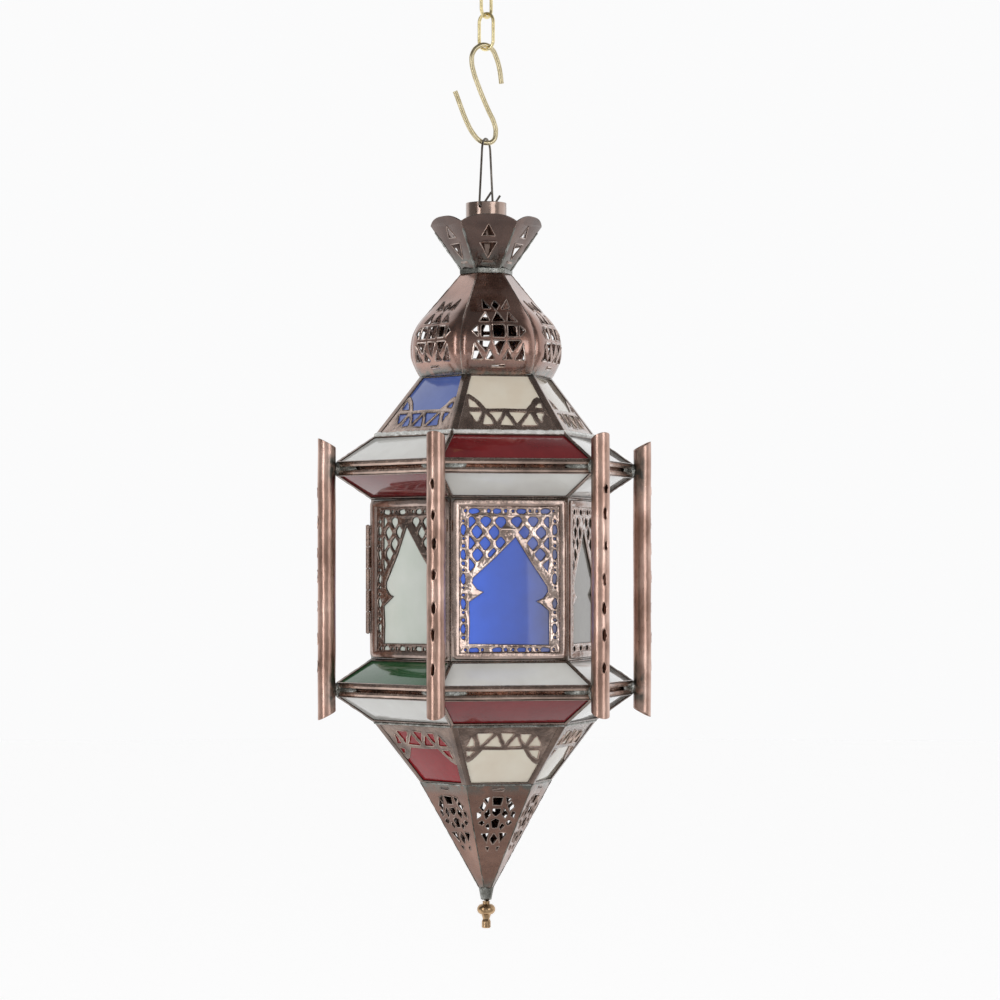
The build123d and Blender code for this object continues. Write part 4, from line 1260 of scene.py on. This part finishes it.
# %% Slotted columns
column_radius, column_middle_radius, column_gap = 6.2, 5.75, 0.2
column_reach = band_radius + column_radius + column_gap
column_wave = 0.0003
column_middle = (box_top + box_foot) / 2
column_half = 96
column_girth = 2 * pi * column_middle_radius
column_slant = tan(radians(28))
slot_pitch = 20
front_left_column, front_right_column = 240, 300


def rolled(sheet, radius, start_turn):
    """Wind a flat sheet, its width round the tube and its height up it, on to a tube's wall."""
    def wind(co):
        angle = radians(start_turn) + co.x / radius
        reach = radius + co.z
        return Vector((reach * cos(angle), reach * sin(angle), co.y)) * MM
    return move_points(sheet, wind)


def column_sheet(chance, foot_cut):
    """A column before it is rolled, with slanting ends and seven slots."""
    around = [column_girth * (step / 28 - 0.5) * 0.992 for step in range(29)]
    drop = [column_slant * column_middle_radius * (1 - cos(x / column_middle_radius)) for x in around]
    top = [(x, column_half - fall) for x, fall in zip(around, drop)]
    foot = [(x, -column_half + foot_cut + fall) for x, fall in zip(around, drop)]
    holes = []
    for slot_number in range(-3, 4):
        x = chance.uniform(-0.7, 0.7)
        y = slot_pitch * slot_number + chance.uniform(-2, 2)
        slot = oval(x, y, chance.uniform(6.6, 8.8), chance.uniform(2.8, 3.7), 90, 14)
        holes.append(wobbled(slot, 0.6, chance))
    lines = [column_girth * (step / 24 - 0.5) for step in range(1, 24)]
    levels = [-80 + 16 * step for step in range(11)]
    return pierced_sheet(foot + top[::-1], holes, 0.42, 0.3, levels, lines, lip=0.35)


def waved(tube, phase):
    """The tube, a little off its line all the way up."""
    def push(co):
        return co + column_wave * noise.noise_vector(Vector((co.x * 30, co.y * 30, co.z * 45)) + phase)
    return move_points(tube, push)


for number, turn in enumerate(side_turns, 1):
    slot_turn = -14 if turn == front_right_column else 0
    lift, foot_cut = (1.6, 2) if turn in (front_left_column, front_right_column) else (0, 0)
    tube = rolled(column_sheet(random.Random(60 + number), foot_cut), column_middle_radius, slot_turn)
    waved(tube, Vector((number * 9.1, 0, 0)))
    tube.data.transform(Matrix.Translation((column_reach * MM, 0, (column_middle + lift) * MM)))
    finish(turned_by(tube, turn), f"slotted_column_{number}", "copper_sheet",
           (column_copper, chiselled, column_copper), f"column_{number}")

# %% [markdown]
# The neck is rolled in the same way, from a plain sheet with two small holes for the tie wire. The
# sheet is wound from its middle, which is turned to where the two holes take the wire.

# %% Neck tube
neck_middle_radius = 13.7
neck_turn = 150
neck_half = (neck_top - waist_foot) / 2
neck_girth = 2 * pi * neck_middle_radius
neck_holes = [oval(x, neck_half - 3.5, 1.8, 1.8, 0, 10) for x in (-neck_girth / 4, neck_girth / 4)]
neck_lines = [neck_girth * (step / 40 - 0.5) for step in range(1, 40)]
neck_sheet = pierced_sheet(
    rectangle(neck_girth / 2 * 0.995, neck_half), neck_holes, half=0.4, rim=0.25, columns=neck_lines)
neck = rolled(neck_sheet, neck_middle_radius, neck_turn)
neck.data.transform(Matrix.Translation((0, 0, (neck_top + waist_foot) / 2 * MM)))
finish(neck, "neck_collar_tube", "copper_sheet", (neck_copper, chiselled, edge_copper), "neck_tube")

# %% [markdown]
# Two round rails make each side of a band, with a slit between them that lets the light through.
# A rail is a round bar with a slight wave, and a thinner wire lies behind the slit.

# %% Band rails
rail_radius, slit_wire_radius = 1.98, 1.5
rail_back = band_radius - rail_radius / cos30
slit_wire_back = rail_back - 2.6


def corner(radius, z, number, pull=0.0):
    """A corner point of the hexagon; number 0 is to the left of the front side."""
    angle = radians(-120 + 60 * number)
    return Vector(((radius - pull) * cos(angle), (radius - pull) * sin(angle), z))


def steps_between(start, end, pitch):
    """Points along a straight line, about a pitch apart."""
    count = max(4, int((end - start).length / pitch))
    return [start.lerp(end, step / count) for step in range(count + 1)]


def edge_run(radius, z, number, short, pitch):
    """Points along one level edge of the hexagon, a little short of its corners."""
    start, end = corner(radius, z, number), corner(radius, z, number + 1)
    along = (end - start).normalized() * short
    return steps_between(start + along, end - along, pitch)


def band_bars(top_z, foot_z, seed):
    """Both rails of a band and the wire behind its slit, all the way round."""
    paths = [edge_run(rail_back, z, 0, 1.2, 6) for z in (top_z - rail_radius, foot_z + rail_radius)]
    bars = round_bars(paths, rail_radius, chance=random.Random(seed), wander=0.05)
    middle = (top_z + foot_z) / 2
    behind_slit = steps_between(corner(slit_wire_back, middle, 0), corner(slit_wire_back, middle, 1), 6)
    band = join([bars, round_bars([behind_slit], slit_wire_radius)])
    band.data.transform(Matrix.Scale(MM, 4))
    return ring(band)


bands = (
    ("upper_band", upper_band_top, upper_band_foot, 3),
    ("lower_band", lower_band_top, lower_band_foot, 8))
for band_name, top_z, foot_z, seed in bands:
    finish(band_bars(top_z, foot_z, seed), band_name, "copper_came", (rail_copper,), f"{band_name}_rails")

# %% [markdown]
# Solder holds it all together and shows at every joint: a bright run along the upper canopy's wide
# edge, grey ones at the throat and the waist, and thin dark seams down the hips. A run is a bar
# whose thickness wanders.

# %% Solder runs
run_pitch = 2.2


def level_runs(radius, z, short=1.0):
    """The six level edges at a height, each a little short of its corners."""
    return [edge_run(radius, z, number, short, run_pitch) for number in range(6)]


def hip_runs(tier, pull, share=1.0, twist=0.0):
    """The six hips of a tier, from its foot up to a share of its height."""
    runs = []
    for number in range(6):
        turn = number + twist / 60
        foot, top = corner(tier[2], tier[3], turn, pull), corner(tier[0], tier[1], turn, pull)
        runs.append(steps_between(foot, foot.lerp(top, share), run_pitch))
    return runs


def dome_seams():
    """The six hips of the dome, following its bent line."""
    runs = []
    for number in range(6):
        line = [dome_line(petal_length * step / 40) for step in range(41)]
        runs.append([corner(x / cos30 - 0.25, z, number + dome_twist / 60) for x, z, _, _ in line])
    return runs


def solder_piece(name, finishes, *runs):
    """Runs, each a list of paths, a thickness, a wander and a seed, as one piece."""
    bars = [round_bars(paths, thickness, chance=random.Random(seed), wander=wander)
            for paths, thickness, wander, seed in runs]
    piece = join(bars)
    piece.data.transform(Matrix.Scale(MM, 4))
    return finish(piece, name, "solder", finishes)


solder_piece(
    "canopy_solder", (bright_solder,),
    (level_runs(canopy_radius - 0.9, canopy_foot + 0.9), 1.6, 0.22, 71))
solder_piece(
    "throat_solder", (joint_solder,),
    (level_runs(canopy_radius - 0.6, lower_canopy_top - 0.4), 0.9, 0.3, 72),
    (level_runs(throat_radius - 0.3, dome_foot), 0.75, 0.3, 73),
    (level_runs(throat_radius - 0.3, spike_top), 0.75, 0.3, 74),
    (hip_runs(crown, 0.3, 0.93, crown_twist), 0.7, 0.35, 75),
    (level_runs(waist_radius - 0.5, crown_foot - 0.3, 0.2), 0.8, 0.35, 76),
    (level_runs(waist_radius - 0.5, waist_foot + 0.5, 0.2), 0.7, 0.35, 77))
solder_piece("dome_seams", (edge_copper,), (dome_seams(), 0.5, 0.25, 78))
hip_tiers = (upper_canopy, upper_eave, upper_soffit, lower_soffit, lower_eave, lower_canopy)
solder_piece(
    "hip_solder", (seam_solder,),
    *[(hip_runs(tier, 1.0), 0.6, 0.2, 80 + number) for number, tier in enumerate(hip_tiers)],
    (hip_runs(spike, 0.4), 0.5, 0.25, 90))

# %% [markdown]
# A round blob joins each column to its band, with a patch on either side that closes the slit, and
# a grey lump ends the spike. A blob is a sphere pushed about by noise, and the last one is drawn in
# to a cone.


# %% Solder blobs at the columns, the slits and the ferrule
def blob(place, size, seed):
    """A lump of solder of these three radii in millimetres."""
    lump = added(bpy.ops.mesh.primitive_ico_sphere_add, subdivisions=4, radius=1)
    phase = Vector((seed * 5.3, seed * 2.9, seed * 1.7))

    def swell(co):
        push = 1 + 0.16 * noise.noise(co * 1.6 + phase) + 0.08 * noise.noise(co * 4.5 + phase)
        return Vector((co.x * size[0], co.y * size[1], co.z * size[2])) * push
    move_points(lump, swell)
    lump.data.transform(Matrix.Translation(place))
    return lump


def column_joint(middle, seed):
    """The blob at a column and the two patches beside it."""
    parts = [blob((band_radius - 1.2, 0, middle), (2.9, 3.6, 4.9), seed)]
    for hand in (-1, 1):
        patch = blob((0, 0, 0), (1.2, 9, 2.4), seed * 2 + 30 + hand)
        lean = Matrix.Rotation(radians(30 * hand), 4, "Z")
        along = Matrix.Translation((0, hand * 9, 0))
        patch.data.transform(Matrix.Translation((band_radius - 1.9, 0, middle)) @ lean @ along)
        parts.append(patch)
    return join(parts)


lumps = []
for band_number, middle in enumerate(band_middles):
    for number in range(6):
        lumps.append(turned_by(column_joint(middle, band_number * 6 + number), 60 * number))
blobs = join(lumps)
blobs.data.transform(Matrix.Scale(MM, 4))
finish(blobs, "column_solder", "solder", (joint_solder,))

ferrule_middle = (spike_foot + ferrule_foot) / 2
ferrule_top_radius, ferrule_taper, ferrule_half = 5.6, 2.2, 5.6


def ferrule_shape(co):
    """A point of the lump, drawn in towards the finial."""
    share = 0.5 - 0.5 * max(-1, min(1, co.z))
    reach = ferrule_top_radius - ferrule_taper * share
    flat_reach = hypot(co.x, co.y) or 1
    wide = min(1, 1.35 * flat_reach) / flat_reach
    return Vector((co.x * wide * reach, co.y * wide * reach, ferrule_middle + 0.9 + co.z * ferrule_half)) * MM


ferrule = move_points(blob((0, 0, 0), (1, 1, 1), 40), ferrule_shape)
finish(ferrule, "spike_tip_solder", "solder", (joint_solder,), "spike_ferrule")

# %% [markdown]
# The S-hook is one brass rod bent by hand, so it has no straight part. A Bezier curve through a few
# points, with automatic handles and a round bevel, flows like the rod does.

# %% S-hook
hook_rod = 1.7
hook_turn = 7
hook_line = [
    (11.2, -26.1), (9.7, -15.8), (7.3, -8), (4.2, -2.6), (-0.5, 0), (-6.3, -1.7), (-10, -6.6), (-10.6, -11.9),
    (-9, -19.8), (-5.7, -28.6), (-2, -37.4), (2.2, -46.2), (5.6, -53), (7, -60), (5, -66), (0, -67.5),
    (-4.7, -66.2), (-9.8, -61.2), (-14.1, -54), (-18.1, -44.7), (-21.3, -36.6), (-22.8, -33)]
hook_top = heights("s_hook")[0] - hook_rod
hook = new_curve([[(x, 0, hook_top + y) for x, y in hook_line]], False)
bpy.ops.object.mode_set(mode="EDIT")
bpy.ops.curve.select_all(action="SELECT")
bpy.ops.curve.spline_type_set(type="BEZIER")
bpy.ops.curve.handle_type_set(type="AUTOMATIC")
bpy.ops.object.mode_set(mode="OBJECT")
hook.data.dimensions = "3D"
hook.data.resolution_u = 6
hook.data.bevel_depth = hook_rod
hook.data.bevel_resolution = 4
hook.data.use_fill_caps = True
hook = as_mesh(hook)
hook.data.transform(Matrix.Rotation(radians(hook_turn), 4, "Z") @ Matrix.Scale(MM, 4))
finish(hook, "bent_s_hook", "hook_brass", (hook_brass,), "s_hook", body="s_hook")

# %% [markdown]
# The chain, the tie wire, the finial, the hinge, the waist and the candle fittings already have
# their real shape as solids, so they keep it and get a metal finish each.

# %% Solids that stay
dress({
    "chain_link_top": chain_brass, "chain_link_lower": chain_brass, "bail_wire": tie_wire,
    "finial": finial_brass, "door_knuckles": strip_copper, "post_knuckles": strip_copper,
    "hinge_pin": hinge_brass, "door_tab": strip_copper, "candle_plate": inner_copper,
    "candle_cup": inner_copper, "waist_collar": joint_solder})

# %% [markdown]
# The lantern hangs in a white studio. The floor below is pale, and it is lifted to white for the
# camera, for reflections from behind the lantern and through glass, while it keeps its shadow. It
# could be lit to white instead, but that light would also fall on the lantern.

# %% Floor
floor_depth, floor_lift = -1.25, 0.636
floor = added(bpy.ops.mesh.primitive_circle_add, vertices=96, radius=14, fill_type="NGON",
              location=(0, 0, floor_depth))
floor.name = "studio_floor"
paper, paper_tree, paper_shader = shader("pale_paper")
paper_shader.inputs["Base Color"].default_value = (0.7, 0.7, 0.7, 1)
paper_shader.inputs["Roughness"].default_value = 0.9
seen = paper_tree.nodes.new("ShaderNodeLightPath").outputs
paper_y = axes_of(paper_tree, object_place(paper_tree))[1]
behind = add_range(paper_tree, paper_y, -0.3, -0.1, 0, 1)
direct = add_math(paper_tree, "MAXIMUM", seen["Is Camera Ray"], seen["Is Transmission Ray"])
mirrored = add_math(paper_tree, "MULTIPLY", seen["Is Glossy Ray"], behind)
lifted = add_math(paper_tree, "MAXIMUM", direct, mirrored)
paper_shader.inputs["Emission Color"].default_value = (1, 1, 1, 1)
glow = add_math(paper_tree, "MULTIPLY", lifted, floor_lift)
paper_tree.links.new(glow, paper_shader.inputs["Emission Strength"])
floor.data.materials.append(paper)
print("floor at", floor_depth, "m")

# %% [markdown]
# The world is white where the camera looks, and dimmer above the lantern and to its left, where the
# room is unlit. Dark copper shows what stands round it, so this is what gives one petal a pale face
# and leaves the next one brown.

# %% World
wall_white, seen_white = (0.96, 0.96, 0.965), (0.965, 0.965, 0.968)
world = bpy.data.worlds.new("white_studio")
bpy.context.scene.world = world
world.use_nodes = True
sky = world.node_tree
sky_x, sky_y, sky_z = axes_of(sky, sky.nodes.new("ShaderNodeTexCoord").outputs["Generated"])
behind = add_math(sky, "ADD", sky_y, add_math(sky, "MULTIPLY", sky_x, 0.6))
behind = add_math(sky, "ADD", behind, add_math(sky, "MULTIPLY", sky_z, 0.22))
white_share = add_math(
    sky, "MULTIPLY", add_range(sky, behind, 0.08, 0.28, 0, 1), add_range(sky, sky_z, 0.7, 0.88, 1, 0))
overhead = add_range(sky, sky_z, 0.1, 0.6, 0.5, 0.16)
room = add_math(sky, "MULTIPLY", overhead, add_range(sky, sky_x, -0.95, -0.55, 0.5, 1))
studio = add_mix(sky, white_share, room, wall_white)
rays = sky.nodes.new("ShaderNodeLightPath").outputs
direct = add_math(sky, "MAXIMUM", rays["Is Camera Ray"], rays["Is Transmission Ray"])
sky.links.new(add_mix(sky, direct, studio, seen_white), sky.nodes["Background"].inputs["Color"])
print("world nodes", len(sky.nodes))

# %% [markdown]
# A large soft lamp to the right of the camera and a tall one on the left draw a bright band down
# either side of every column. A broad fill behind the camera brings the glass to a plain level; it
# is kept out of the reflections, so that the metal stays dark where the room is.

# %% Lamps
lantern_heart = Vector((0, 0, -0.4))


def soft_lamp(name, place, size, radiance, reflected=True):
    """A rectangular lamp that looks at the lantern, as bright as its radiance at any size."""
    lamp = added(bpy.ops.object.light_add, type="AREA", location=place)
    lamp.name = name
    lamp.data.shape = "RECTANGLE"
    lamp.data.size, lamp.data.size_y = size
    lamp.data.energy = radiance * pi * size[0] * size[1]
    lamp.rotation_euler = (lantern_heart - Vector(place)).to_track_quat("-Z", "Y").to_euler()
    lamp.visible_camera = False
    lamp.visible_glossy = reflected
    print(name, round(lamp.data.energy, 1), "W")
    return lamp


soft_lamp("right_softbox", (1.1, -2.3, -0.2), (1.1, 1.2), 1.9)
soft_lamp("left_strip", (-1.85, -1.3, -0.2), (0.5, 1.8), 3.4)
soft_lamp("front_fill", (-0.9, -3.2, 0.5), (2.4, 2.4), 4.0, reflected=False)

# %% [markdown]
# The photograph is taken level with the middle of the lantern from a little to the left of its front
# window. The camera keeps its back upright, and a small shift sets the framing.

# %% Camera
azimuth = radians(-12.8)
distance = 2.2
eye_height = -0.407
photo_width = 0.69
film_width = 36
camera = added(
    bpy.ops.object.camera_add, location=(distance * sin(azimuth), -distance * cos(azimuth), eye_height),
    rotation=(pi / 2, 0, azimuth))
camera.name = "photograph"
camera.data.sensor_width = film_width
camera.data.lens = film_width * distance / photo_width
camera.data.shift_x = 0.0138
camera.data.shift_y = 0.073
bpy.context.scene.camera = camera
bpy.context.scene.view_settings.view_transform = "Standard"
print("lens", round(camera.data.lens, 1), "mm")
